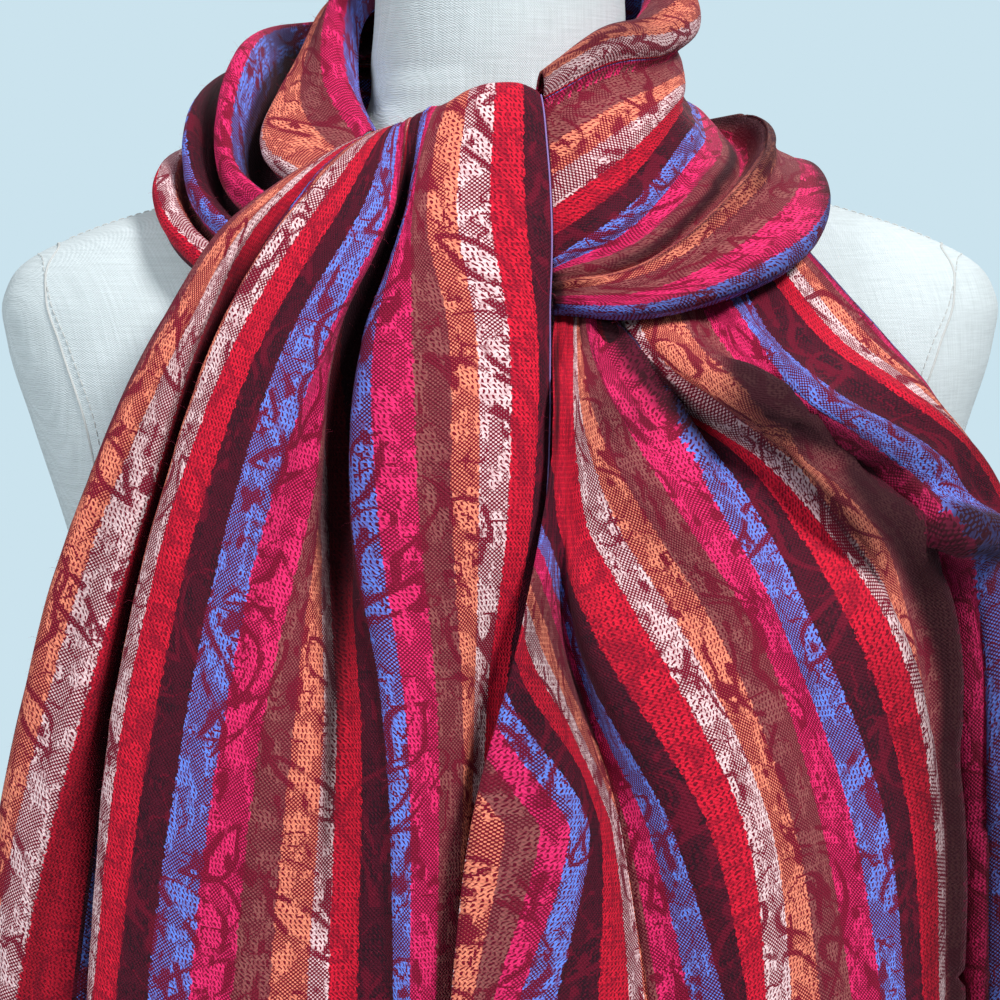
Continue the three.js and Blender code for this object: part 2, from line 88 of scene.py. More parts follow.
# ---- tables
# Rows run from one fold of the cloth to the next. stripe counts woven stripes from the first edge.
# For the fan and the tail, the z columns are x at those heights, and top, high and low are how far
# the fold stands out of the drape just below the loop, above the bust and below it.
FAN_COLUMNS = (
    "stripe", "roll_x", "roll_y", "roll_z", "z740", "z700", "z640", "z570", "z464", "hem", "high",
    "low",
)
FAN_FOLDS = (
    # The first fold is the edge curled under; its black stripe is woven colour that also stands in for the
    # shadow in the curl as painted shade
    (0.4, 14.6, -79, 778, 17.6, 17.3, 21, 12, 9, 6, -15, -19),
    (0.05, 13, -80, 783, 17, 16.8, 15, 8, 6, 3, -6, -10),
    (1, 8, -81, 785.5, 9, 13, 11.5, 2, 0, -3, -2, -9),
    (3, -10, -82, 783.5, -15, -8.5, -7.5, -9.5, -11, -14, 4, -6),
    (4.3, -19, -81.5, 778.5, -28, -21, -19.5, -15.5, -17, -21, 5, -2),
    (6, -24, -80.5, 777.5, -31.5, -43, -42, -33, -31.5, -36, 3, 3),
    (7, -26, -79.8, 776.4, -33, -48.5, -53, -41, -37, -43, -5, 3),
    (8.5, -28, -79, 775.3, -34.5, -51, -56, -53, -57, -63, -13, -5),
    (10, -30, -78.2, 774.2, -36.5, -54, -59.5, -61, -68, -75, -12, -2),
    (12, -32, -77.4, 773.3, -38, -56, -66, -81, -94, -100, -4, 4),
    (13, -33.8, -76.6, 772.4, -40, -59, -80, -95, -109, -116, 6, 8),
    (14, -35.6, -75.8, 771.6, -49, -72, -92.5, -108, -124, -131, 9, 10),
    (16, -37.4, -75, 770.8, -65, -89.5, -113, -130, -144, -152, 10, 9),
    (17.2, -39.2, -74.2, 770, -74, -97.5, -119, -136, -147, -155, 5, 4),
    (20, -40.8, -73.5, 769.2, -76, -98, -117, -134, -144, -151, -5, -6),
    (22.5, -42.3, -72.8, 768.4, -80, -102, -121, -140, -165, -171, -7, -4),
    (23.3, -43.7, -72, 767.6, -84, -106, -128, -151, -178, -184, -1, 3),
    (24.4, -45, -71, 766.6, -88, -113, -143, -165, -188, -195, 5, 3),
    (25.6, -46, -69.5, 763.5, -93, -121, -149, -171, -192, -199, -5, -8),
    (27, -43, -69, 757.5, -88, -115, -142, -164, -184, -190, -17, -19),
    (30.5, -32, -70, 753.5, -70, -90, -108, -122, -136, -140, -21, -23),
    (34, -20, -71, 752, -52, -64, -74, -82, -90, -92, -20, -22),
)
TAIL_COLUMNS = (
    "stripe", "start_x", "start_y", "start_z", "z694", "z676", "z655", "z630", "z600", "z530",
    "z464", "hem", "top", "high", "low",
)
TAIL_FOLDS = (
    (0, 21, -76, 714, 18.8, 18.6, 18, 14, 8, -10, -17.5, -27, 0, 0, 8),
    (3, 22, -76, 714, 19.8, 19.6, 19, 17, 14, 24, 5, -2, 0, 0, 12),
    (6, 23, -76, 714, 20.8, 20.6, 20, 19, 19, 38, 45, 40, 0, 0, 5),
    (7.5, 24, -76, 714, 21.8, 21.6, 21, 20.5, 22, 41, 52, 48, 0, 0, -5),
    (9.2, 25, -76, 714, 22.9, 22.6, 22, 22, 24.5, 45, 57, 54, 0, 0, -3),
    (11, 26, -76, 714, 24.2, 23.8, 23.2, 23.8, 28, 59, 79, 77, 0, 0, 7),
    (13, 27, -76, 714, 26, 25.6, 26.8, 31, 48, 84, 93, 93, 0, 2, 9),
    (15, 29, -75, 714, 29, 31, 39, 54, 72.5, 101, 112, 113, 3, 7, 6),
    (16.3, 32, -75, 714, 32.5, 40, 54, 70, 89.5, 114, 127, 129, 9, 8, 3),
    (18, 36, -75, 714, 36, 49, 72, 93, 108, 135, 144, 147, -19, -7, 5),
    (20, 41, -74, 715, 40, 56, 90, 114, 134, 152.5, 156, 160, -21, -8, 7),
    (21, 48, -73, 716, 53, 70, 101, 124, 141, 156.5, 158.5, 163, 6, 5, 5),
    (22, 58, -71, 717, 69, 83, 110, 131, 143, 155, 158, 162, 10, -3, -18),
    (23, 68, -67, 719, 79, 94, 120, 143, 156, 163, 166, 168, -5, -20, -34),
    (24, 76, -63, 722, 92, 106, 136, 163, 174, 177, 178, 178, 8, 8, -5),
    (25, 83, -59, 726, 99, 120, 156, 180, 191, 191, 191, 190, 2, 3, -4),
    (26, 90, -55, 730, 116, 140, 169, 187, 198, 198, 198, 197, -5, -3, -9),
    (27.5, 96, -51, 734, 127, 151, 174, 190, 202, 202, 202, 200, -11, -11, -17),
    (29.5, 101, -47, 738, 138, 157, 174, 189, 200, 201, 201, 198, -21, -21, -28),
    (31.5, 102, -44, 740, 143, 159, 170, 183, 193, 195, 195, 191, -31, -31, -39),
    (36, 98, -42, 740, 134, 146, 152, 160, 168, 172, 172, 168, -38, -38, -46),
)
LEFT_COLUMNS = (
    "stripe", "nape_r", "nape_z", "back_r", "back_z", "side_r", "side_z", "front_r", "front_z",
    "under_r", "under_z",
)
LEFT_FOLDS = (
    (-3.6, 51.3, 836, 52, 826, 54, 810, 58, 784, 64, 767),
    (-2.9, 55, 850, 60, 842, 60, 824, 65, 794, 70, 770),
    (-1, 63, 848, 73, 836, 72, 809, 81, 779, 83, 760),
    (0.1, 69, 838, 82, 828, 80, 795, 97, 766, 97, 751),
    (2.4, 67, 828, 76, 808, 75, 778, 93, 754, 93, 742),
    (2.3, 72, 820, 88, 802, 86, 777, 97, 747, 98, 735),
    (4.3, 77, 815, 105, 818, 101, 799, 110, 760, 106, 738),
    (5, 77, 805, 109, 808, 107, 788, 112, 751, 106, 729),
    (9.2, 76, 797, 108, 795, 104, 773, 108, 741, 101, 722),
    (9.9, 81, 790, 121, 802, 119, 780, 119, 746, 106, 718),
    (11, 82, 778, 118, 789, 120, 770, 121, 739, 107, 712),
    (13.2, 80, 768, 111, 778, 118, 761, 120, 732, 102, 707),
    (14.2, 83, 758, 112, 768, 125, 763, 127, 736, 106, 705),
    (15.6, 86, 748, 112, 757, 131, 757, 132, 731, 110, 699.5),
    (16.3, 83, 741, 107, 749, 128, 750, 129, 724, 106, 694.5),
)
RIGHT_COLUMNS = (
    "stripe", "nape_r", "nape_z", "back_r", "back_z", "side_r", "side_z", "front_r", "front_z",
    "throat_r", "throat_z", "knot_r", "knot_z",
)
RIGHT_FOLDS = (
    (-3.4, 51.3, 836, 52, 838, 55, 828, 57, 802, 60, 786, 64, 772),
    (-2.1, 55, 850, 57, 852, 62, 840, 62, 812, 64.5, 801, 68, 785),
    (-0.9, 63, 848, 66, 848, 73, 830, 70, 813, 73, 805, 75, 790),
    (0.5, 69, 838, 73, 836, 77, 816, 76, 802, 78.5, 797, 80.5, 785),
    (5, 67, 828, 71, 827, 69, 807, 70, 795, 73.5, 787, 78.5, 776),
    (6, 72, 820, 78, 818, 70, 799, 74, 788, 80, 776, 84.5, 763),
    (8, 77, 815, 83, 808, 69, 790, 78, 780, 87, 757, 91, 741),
    (9.9, 77, 805, 86, 798, 71, 781, 82, 769, 92, 741, 95, 724.5),
    (10.9, 76, 797, 88, 790, 78, 774, 84, 759, 91, 732, 94, 720.5),
    (12.3, 81, 790, 95, 787, 86, 770, 94, 753, 97, 726, 94.5, 718),
    (13, 82, 778, 96, 776, 94, 764, 98.5, 744, 98, 719.5, 94, 715.5),
    (13.5, 80, 768, 102, 776, 102.5, 778, 112, 755, 107, 722, 95, 713.5),
    (12.6, 83, 758, 101, 764, 106, 765, 113, 741, 107, 714.5, 95.5, 711.3),
    (11.5, 86, 748, 105, 757, 116, 762, 124.5, 734, 111, 710.5, 96, 709.2),
    (10.6, 83, 741, 104, 748, 122, 759, 131, 725, 112, 706, 95, 706.8),
    (10.2, 80, 737, 99, 742, 118, 756, 126, 719, 106, 702.8, 90, 704),
)

TORSO_COLUMNS = ("height", "half_width", "front", "back")
TORSO_LEVELS = (
    (TORSO_BOTTOM, 152, 84, 96),
    (190, 166, 92, 112),
    (280, 154, 90, 102),
    (380, 121, 82, 80),
    (470, 134, 92, 82),
    (560, 155, 104, 90),
    (620, 171, 94, 93),
    (660, 184, 78, 90),
    (690, 193, 66, 84),
    (708, 194, 58, 76),
    (722, 184, 51, 68),
    (734, 158, 47, 62),
    (748, 112, 45, 58),
    (762, 71, 46, 55),
    (776, 54, 48, 52),
    (800, NECK_RADIUS, NECK_RADIUS, NECK_RADIUS),
    (NECK_TOP, NECK_RADIUS - 2, NECK_RADIUS - 2, NECK_RADIUS - 2),
)

DRAPE_COLUMNS = ("height", "depth", "half_width")
DRAPE_LEVELS = (
    (HEM, 128, 236),
    (330, 131, 236),
    (464, 135, 234),
    (570, 131, 228),
    (640, 123, 210),
    (700, 112, 188),
    (740, 103, 150),
)

LEVEL_COLUMNS = ("name", "height", "lift", "fullness", "inset")
FAN_LEVELS = (
    ("z740", 740, "high", 0.35, 0),
    ("z700", 700, "high", 0.75, 0),
    ("z640", 640, "high", 1, 0),
    ("z570", 570, "low", 1, 0),
    ("z464", 464, "low", 1.05, 0),
    ("hem", HEM, "low", 1.3, 0),
)
TAIL_LEVELS = (
    ("z694", 694, "top", 0.5, 16),
    ("z676", 676, "top", 1, 0),
    ("z655", 655, "high", 1, 0),
    ("z630", 630, "high", 1, 0),
    ("z600", 600, "low", 0.8, 0),
    ("z530", 530, "low", 1, 0),
    ("z464", 464, "low", 1.05, 0),
    ("hem", HEM, "low", 1.25, 0),
)

# Soft ridges, and troughs where the height is negative. A row is the fold and station where it
# starts, those where it ends, its width and its height.
FAN_CREASES = (
    (4.5, 2.2, 4.2, 4.6, 6, -2),
    (3.4, 2.8, 3.1, 6, 8, 1.6),
    (2.2, 4.2, 2.6, 7, 7, -1.8),
    (1.5, 4.6, 1.3, 7, 7, 1.5),
    (5.4, 1.5, 4.2, 3.3, 4, 1.6),
    (5, 3.8, 5.3, 6.9, 6, 1.6),
    (6.3, 2, 6.2, 6.9, 5, -2.2),
    (7.3, 1.6, 7.6, 5.8, 4.5, -8),
    (14, 1.8, 14.3, 7, 5, -7),
    (8.6, 4.3, 8.9, 7, 6, 2.2),
    (9.6, 2.6, 9.3, 6.9, 5, -2.4),
    (10.5, 2, 10.2, 6.2, 6, 2),
    (11.4, 2.2, 11.6, 6.6, 5, -2.2),
    (12.4, 1.4, 13.1, 3.3, 4, 1.6),
    (13.5, 4, 13.2, 7, 4, -1.8),
    (15.5, 2.3, 15.7, 7, 5, 2.2),
    (16.6, 1.8, 16.3, 5.4, 4, -2),
    (17.3, 3, 17.2, 7, 5, 1.4),
    (3, 1.3, 2.1, 2.9, 4, -1.2),
    (19.6, 2.5, 19.5, 7, 7, -1.6),
    (20.4, 2, 20.5, 7, 8, 1.4),
)
TAIL_CREASES = (
    (12.4, 1.4, 12.2, 3.2, 6.5, -13),
    (0.5, 0.3, 12, 0.3, 5, -6),
    (13.8, 1, 13.9, 2.9, 3.5, 3.4),
    (9.3, 0.2, 8.8, 3.2, 4.5, -12),
    (10.8, 0.8, 10.9, 3.2, 5, 3.6),
    (12.3, 2.9, 12.2, 5.6, 11, -15),
    (12.2, 4.6, 12.3, 8.2, 7, -13),
    (12.4, 3.7, 15.4, 4.4, 6.5, -12),
    (13, 3, 15.6, 3.8, 6, 5),
    (11, 2.6, 11.1, 8, 4, 2.6),
    (13.9, 4.6, 14, 8.2, 6, 7),
    (11.2, 0.9, 12, 2.1, 3, -1.6),
    (11, 1.8, 11.6, 3, 4, 1.6),
    (8, 0.9, 8.1, 4.2, 5, 3),
    (7.6, 3.6, 7.2, 8, 6, -2.2),
    (8.6, 3.2, 8.3, 8, 7, -2),
    (9.4, 3.6, 9.5, 8, 6, 2),
    (10.4, 4.2, 10.3, 8, 4, -1.6),
    (6.5, 4.5, 6.4, 8, 6, 1.6),
    (1.4, 5.5, 1.5, 8, 6, 2),
    (0.7, 5.2, 0.8, 8, 4, -1.5),
    (3.5, 5.4, 3.4, 8, 5, -2.5),
    (14.4, 0.7, 14.8, 4.2, 4, -2.6),
    (15.3, 0.8, 15.6, 4.6, 5, 2.2),
    (16.2, 1.2, 16.4, 4.2, 4, -1.8),
    (14.6, 4.8, 14.7, 8, 5, -2.4),
    (15.5, 4.6, 15.4, 8, 6, 2),
    (16.6, 4.8, 16.6, 8, 5, -1.8),
    (18.5, 3, 18.5, 8, 6, 1.6),
    (19.5, 2.2, 19.4, 8, 7, -1.6),
)
LEFT_CREASES = (
    (4.3, 0.7, 4.4, 3.4, 5, -6),
    (1.5, 1, 1.4, 3.6, 4, 1.3),
    (6.5, 0.8, 6.4, 3.9, 4, 1.3),
    (8, 0.5, 8.2, 3.8, 4, -2.2),
    (9.5, 1, 9.4, 3.8, 4, 1.4),
    (11.1, 0.8, 11, 3.9, 4, -1.6),
    (12.7, 1, 12.6, 3.9, 3, 1.4),
)
BACK_CREASES = (
    (3.2, 0, 3.5, 2, 4, -1.4),
    (7.8, 0, 8.1, 2, 4, -1.6),
    (10.6, 0, 10.4, 2, 4, 1.2),
)
RIGHT_CREASES = (
    (5.5, 1.5, 5.9, 4.9, 4, -1.6),
    (6.4, 1.2, 6.7, 4.9, 4, 1.6),
    (7.5, 1.4, 7.6, 4.9, 4, -1.6),
    (8.6, 1.8, 8.5, 4.9, 3, 1.8),
    (9.5, 2, 9.5, 4.9, 3, -2),
    (11, 1.7, 10.9, 4.5, 3, 3.2),
    (12, 1.6, 11.9, 4.7, 4, -2.2),
    (13, 1.7, 12.9, 4.7, 4, 1.6),
    (14, 1.5, 13.9, 4.7, 3, -1.2),
    (2.1, 1, 2.2, 4.6, 3, 1),
)

# Lines along which the cloth goes down out of the light, shown only as painted shade in its colour, without
# a crease of its own: the rows are as in the crease tables, and only their shade counts.
PAINTED_SHADE_LINES = {
    "scarf_collar_left": ((5.2, -1, 5.3, 4.8, 7, -12), (4.2, -1, 4.3, 4.8, 7, -12)),
    "scarf_collar_right": ((8, 5, 15, 5, 5, -11), (9.2, 0.8, 9.4, 4.6, 3, -8)),
    "scarf_side_tail": ((1, 0.05, 10.5, 0.05, 6, -13), (9, 0.1, 8.9, 3, 5, -13)),
}

# Folds with cloth tucked out of sight behind them
HIDDEN_FAN = (14,)
HIDDEN_LEFT = (3, 7, 10)
HIDDEN_RIGHT = (3,)

# Angles round the neck at which the loop's columns of radius and height are; 90 is the nape.
LEFT_ANGLES = {"nape": 100, "back": 138, "side": 180, "front": 203, "under": 226}
RIGHT_ANGLES = {"nape": 80, "back": 42, "side": 4, "front": -34, "throat": -62, "knot": -78.6}


# ---- smooth curves
def hermite_weights(knots, places):
    """Matrix that takes values at the knots to the smooth curve's values at the places."""
    knots = np.asarray(knots, float)
    places = np.clip(np.asarray(places, float), knots[0], knots[-1])
    count = len(knots)
    slopes = np.zeros((count, count))
    slopes[0, :2] = np.array([-1, 1]) / (knots[1] - knots[0])
    slopes[-1, -2:] = np.array([-1, 1]) / (knots[-1] - knots[-2])
    for k in range(1, count - 1):
        before, after = knots[k] - knots[k - 1], knots[k + 1] - knots[k]
        slopes[k, k - 1] = -after / before / (before + after)
        slopes[k, k] = (after / before - before / after) / (before + after)
        slopes[k, k + 1] = before / after / (before + after)
    cell = np.clip(np.searchsorted(knots, places, side="right") - 1, 0, count - 2)
    span = knots[cell + 1] - knots[cell]
    s = (places - knots[cell]) / span
    rows = np.arange(len(places))
    weights = np.zeros((len(places), count))
    weights[rows, cell] += (1 + 2 * s) * (1 - s) ** 2
    weights[rows, cell + 1] += s * s * (3 - 2 * s)
    weights += (s * (1 - s) ** 2 * span)[:, None] * slopes[cell]
    weights += (s * s * (s - 1) * span)[:, None] * slopes[cell + 1]
    return weights


def as_dicts(columns, rows):
    return [dict(zip(columns, row)) for row in rows]


def column(columns, rows, name):
    """One column of a table as a function of its first column."""
    knots = [row[0] for row in rows]
    values = np.array([row[columns.index(name)] for row in rows], float)
    return lambda t: hermite_weights(knots, np.atleast_1d(t)) @ values


torso_half_width = column(TORSO_COLUMNS, TORSO_LEVELS, "half_width")
torso_front = column(TORSO_COLUMNS, TORSO_LEVELS, "front")
torso_back = column(TORSO_COLUMNS, TORSO_LEVELS, "back")
drape_depth = column(DRAPE_COLUMNS, DRAPE_LEVELS, "depth")
drape_half_width = column(DRAPE_COLUMNS, DRAPE_LEVELS, "half_width")


# ---- nets of folds
def chest_depth(x, height):
    """Depth of the torso's front face at x on a level."""
    across = min(abs(x) / torso_half_width(height)[0], 1)
    return torso_front(height)[0] * (1 - across**SQUARENESS) ** (1 / SQUARENESS)


def drape(x, height):
    """Depth of the hanging cloth's mean surface."""
    across = min(abs(x) / drape_half_width(height)[0], 0.985)
    return drape_depth(height)[0] * (1 - across**DRAPE_SQUARENESS) ** (1 / DRAPE_SQUARENESS)


def hang(fold, levels):
    """A fold's places at each level, with its own lift out of the drape."""
    places = []
    for level in as_dicts(LEVEL_COLUMNS, levels):
        x = fold[level["name"]]
        height = level["height"]
        depth = drape(x, height) - level["inset"] + fold[level["lift"]] * level["fullness"]
        places.append((x, -max(depth, chest_depth(x, height) + REST), height))
    return places


def tucked(fold):
    """Where the fan's end lies against the neck, inside the loop."""
    radius = NECK_RADIUS + 2 + REST
    turn = math.asin(fold["roll_x"] * TUCK_GATHER / radius)
    across = radius * math.sin(turn)
    height = fold["roll_z"] - TUCK_DEPTH
    depth = max(radius * math.cos(turn), chest_depth(across, height) + 2 * REST)
    return (across, -depth, height)


def polar(radius, height, angle):
    turn = math.radians(angle)
    return (radius * math.cos(turn), radius * math.sin(turn), height)


def place_of(fold, name):
    return tuple(fold[f"{name}_{axis}"] for axis in "xyz")


def fan_net():
    folds = as_dicts(FAN_COLUMNS, FAN_FOLDS)
    return np.array([
        [tucked(fold), place_of(fold, "roll"), *hang(fold, FAN_LEVELS)] for fold in folds
    ])


def tail_net():
    folds = as_dicts(TAIL_COLUMNS, TAIL_FOLDS)
    return np.array([[place_of(fold, "start"), *hang(fold, TAIL_LEVELS)] for fold in folds])


def loop_net(columns, rows, angles):
    return np.array([
        [polar(fold[f"{name}_r"], fold[f"{name}_z"], angle) for name, angle in angles.items()]
        for fold in as_dicts(columns, rows)
    ])


def nape_net():
    """The stretch behind the neck, from one nape station to the other."""
    gap_angle = math.degrees(SEAM_GAP / (NECK_RADIUS + 1))
    angles = (LEFT_ANGLES["nape"] - gap_angle, 90, RIGHT_ANGLES["nape"] + gap_angle)
    return np.array([
        [polar(fold["nape_r"], fold["nape_z"], angle) for angle in angles]
        for fold in as_dicts(LEFT_COLUMNS, LEFT_FOLDS)
    ])


def mean_steps(lines):
    """Knots that are as far apart as the lines are on average."""
    gaps = np.linalg.norm(np.diff(lines, axis=0), axis=2).mean(axis=1)
    return np.concatenate([[0], np.cumsum(np.maximum(gaps, 1))])


# ---- cloth meshes
def vertex_normals(points):
    """Unit normals of a grid of points, towards the outside of the cloth."""
    down = np.gradient(points, axis=0)
    sideways = np.gradient(points, axis=1)
    normals = np.cross(sideways, down)
    return normals / np.maximum(np.linalg.norm(normals, axis=2, keepdims=True), 1e-9)


def crease(points, normals, across, along, shade, spec):
    """Soft ridge or trough along a line on the cloth; spec is a row of the crease tables. Troughs also add
    to shade, which is 1 at the bottom of a deep one; this shade is painted into the cloth's colour."""
    fold_a, station_a, fold_b, station_b, width, height = spec
    steps = np.linspace(0, 1, 200)
    columns = np.interp(fold_a + (fold_b - fold_a) * steps, across, np.arange(len(across)))
    rows = np.interp(station_a + (station_b - station_a) * steps, along, np.arange(len(along)))
    line = points[np.rint(rows).astype(int), np.rint(columns).astype(int)]
    near = across > min(fold_a, fold_b) - CREASE_REACH
    near &= across < max(fold_a, fold_b) + CREASE_REACH
    part = points[:, near]
    distances = np.linalg.norm(part[:, :, None, :] - line[None, None], axis=3)
    closest = distances.argmin(axis=2)
    fade = np.sin(np.pi * (0.04 + 0.92 * steps[closest])) ** 0.7
    lift = height * fade * np.exp(-((distances.min(axis=2) / width) ** 2))
    points[:, near] += normals[:, near] * lift[:, :, None]
    # Painted shade: how deep the trough goes sets how dark the cloth's colour is painted there
    depth = (-lift - SHADE_START) / (SHADE_FULL - SHADE_START)
    shade[:, near] = np.maximum(shade[:, near], np.clip(depth, 0, 1))


def ripple(points, normals, u, v, seed):
    """Low uneven ripples, longer along the warp than across it."""
    lift = np.empty(points.shape[:2])
    for place in np.ndindex(lift.shape):
        across, along = u[place], v[place]
        broad = noise.noise((across / 11 + seed, along / 46, seed))
        lift[place] = broad + 0.45 * noise.noise((across / 5 + seed, along / 17, seed + 9))
    points += normals * (lift * RIPPLE_HEIGHT)[:, :, None]


def link(name, vertices, faces):
    mesh = bpy.data.meshes.new(name)
    mesh.from_pydata(vertices, [], faces)
    mesh.update()
    piece = bpy.data.objects.new(name, mesh)
    bpy.context.scene.collection.objects.link(piece)
    return piece


def stand_for(piece, node, material):
    """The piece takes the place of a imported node."""
    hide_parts(node)
    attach(piece, "root")
    piece.data.materials.append(material)


def loose_piece(name, vertices, faces, material):
    piece = link(name, vertices, faces)
    piece.data.materials.append(material)
    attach(piece, "root")
    return piece


def band_faces(rings, sides, first=0):
    """Faces between rings of vertices that follow each other; first is the first vertex's number."""
    faces = []
    for k in range(rings - 1):
        for i in range(sides):
            a, b = first + k * sides + i, first + k * sides + (i + 1) % sides
            faces.append((a, b, b + sides, a + sides))
    return faces


def lay_map(piece, name, first, second):
    """A UV map whose two values are given at the points of one side of a shell."""
    values = np.stack([first, second], axis=2).reshape(-1, 2)
    values = np.concatenate([values, values])
    corners = np.empty(len(piece.data.loops), int)
    piece.data.loops.foreach_get("vertex_index", corners)
    layer = piece.data.uv_layers.new(name=name)
    layer.data.foreach_set("uv", values[corners].astype(np.float32).ravel())


def shell(name, points, normals):
    """Thin closed cloth on a grid of points."""
    rows, columns = points.shape[:2]
    half = normals * (THICKNESS / 2)
    vertices = np.concatenate([(points + half).reshape(-1, 3), (points - half).reshape(-1, 3)]) * MM
    j, i = np.meshgrid(np.arange(rows - 1), np.arange(columns - 1), indexing="ij")
    p = (j * columns + i).ravel()
    back = rows * columns
    faces = [np.stack([p, p + columns, p + columns + 1, p + 1], axis=1)]
    faces.append(np.stack([p, p + 1, p + columns + 1, p + columns], axis=1) + back)
    left = np.arange(rows - 1) * columns
    right = left + columns - 1
    top = np.arange(columns - 1)
    foot = top + (rows - 1) * columns
    faces.append(np.stack([left, left + back, left + back + columns, left + columns], axis=1))
    faces.append(np.stack([right, right + columns, right + back + columns, right + back], axis=1))
    faces.append(np.stack([top, top + 1, top + back + 1, top + back], axis=1))
    faces.append(np.stack([foot, foot + back, foot + back + 1, foot + 1], axis=1))
    piece = link(name, vertices.tolist(), np.concatenate(faces).tolist())
    piece.data.polygons.foreach_set("use_smooth", [True] * len(piece.data.polygons))
    return piece


def thread_places(points):
    """Places of the grid's points on the cloth laid out, in mm across and along it."""
    across_steps = np.linalg.norm(np.diff(points, axis=1), axis=2).mean(axis=0)
    along_steps = np.linalg.norm(np.diff(points, axis=0), axis=2)
    window = np.ones(15) / 15
    padded = np.pad(along_steps, ((0, 0), (7, 7)), mode="edge")
    along_steps = np.apply_along_axis(np.convolve, 1, padded, window, "valid")
    u = np.concatenate([[0], np.cumsum(across_steps)])
    v = np.vstack([np.zeros(points.shape[1]), np.cumsum(along_steps, axis=0)])
    return np.broadcast_to(u, v.shape), v


def open_sky(points, normals, reach):
    """Share of the sky that each point sees between the folds on either side of it."""
    window = np.ones(2 * reach + 1) / (2 * reach + 1)
    padded = np.pad(normals, ((0, 0), (reach, reach), (0, 0)), mode="edge")
    outward = np.apply_along_axis(np.convolve, 1, padded, window, "valid")
    outward /= np.linalg.norm(outward, axis=2, keepdims=True)
    column_numbers = np.arange(points.shape[1])
    hidden = np.zeros(points.shape[:2])
    for direction in (1, -1):
        horizon = np.zeros(points.shape[:2])
        for offset in range(1, reach + 1):
            other = column_numbers + direction * offset
            there = (other >= 0) & (other < points.shape[1])
            toward = points[:, other[there]] - points[:, there]
            rise = (toward * outward[:, there]).sum(axis=2)
            flat = np.sqrt(np.maximum((toward**2).sum(axis=2) - rise**2, 1e-6))
            horizon[:, there] = np.maximum(horizon[:, there], np.arctan2(rise, flat))
        hidden += horizon / math.pi
    return 1 - hidden


def cloth(seed, node, net, stripes, direction, start, hidden, creases, per_fold, row_height, reach):
    """A stretch of the scarf. stripes are counted at each fold, or at each fold and station;
    direction and start place them in the woven order. Behind the folds in hidden the count runs on
    in a narrow band. The mesh has per_fold columns to a fold, and folds up to reach columns away
    hide the sky."""
    across_knots = mean_steps(net)
    along_knots = mean_steps(net.transpose(1, 0, 2))
    folds, stations = net.shape[:2]
    across = np.linspace(0, folds - 1, (folds - 1) * per_fold + 1)
    rows = round(along_knots[-1] / row_height)
    lengths = np.linspace(0, along_knots[-1], rows + 1)
    along = np.interp(lengths, along_knots, np.arange(stations))
    fold_weights = hermite_weights(across_knots, np.interp(across, np.arange(folds), across_knots))
    station_weights = hermite_weights(along_knots, lengths)
    points = np.einsum("af,fsk,bs->bak", fold_weights, net, station_weights)
    counted = np.asarray(stripes, float).reshape(folds, -1)
    counted = np.broadcast_to(counted, (folds, stations))
    fold, part = np.divmod(across, 1)
    narrow = np.clip((part - 0.5) * 7 + 0.5, 0, 1)
    counted_at = fold + np.where(np.isin(fold, hidden), narrow, part)
    columns = np.array([np.interp(counted_at, np.arange(folds), line) for line in counted.T])
    stripe = np.array([np.interp(along, np.arange(stations), line) for line in columns.T]).T
    u, v = thread_places(points)
    normals = vertex_normals(points)
    shade = np.zeros(points.shape[:2])
    for spec in creases:
        crease(points, normals, across, along, shade, spec)
    # Painted shade only: these lines are laid on a copy of the points, so the cloth's shape stays as it is
    for spec in PAINTED_SHADE_LINES.get(node, ()):
        crease(points.copy(), normals, across, along, shade, spec)
    ripple(points, normals, u, v, seed)
    normals = vertex_normals(points)
    piece = shell(f"{node}_cloth", points, normals)
    # Painted shade: the sky left open between the folds, less the troughs' and lines' shade, goes into the
    # stripes map, and the material darkens the colour by it
    sky = open_sky(points, normals, reach) * (1 - SHADE_SHARE * shade)
    lay_map(piece, "threads", u + 57 * seed, v + 131 * seed)
    lay_map(piece, "stripes", start + direction * stripe, sky)
    stand_for(piece, node, pashmina)
    return piece, points, normals


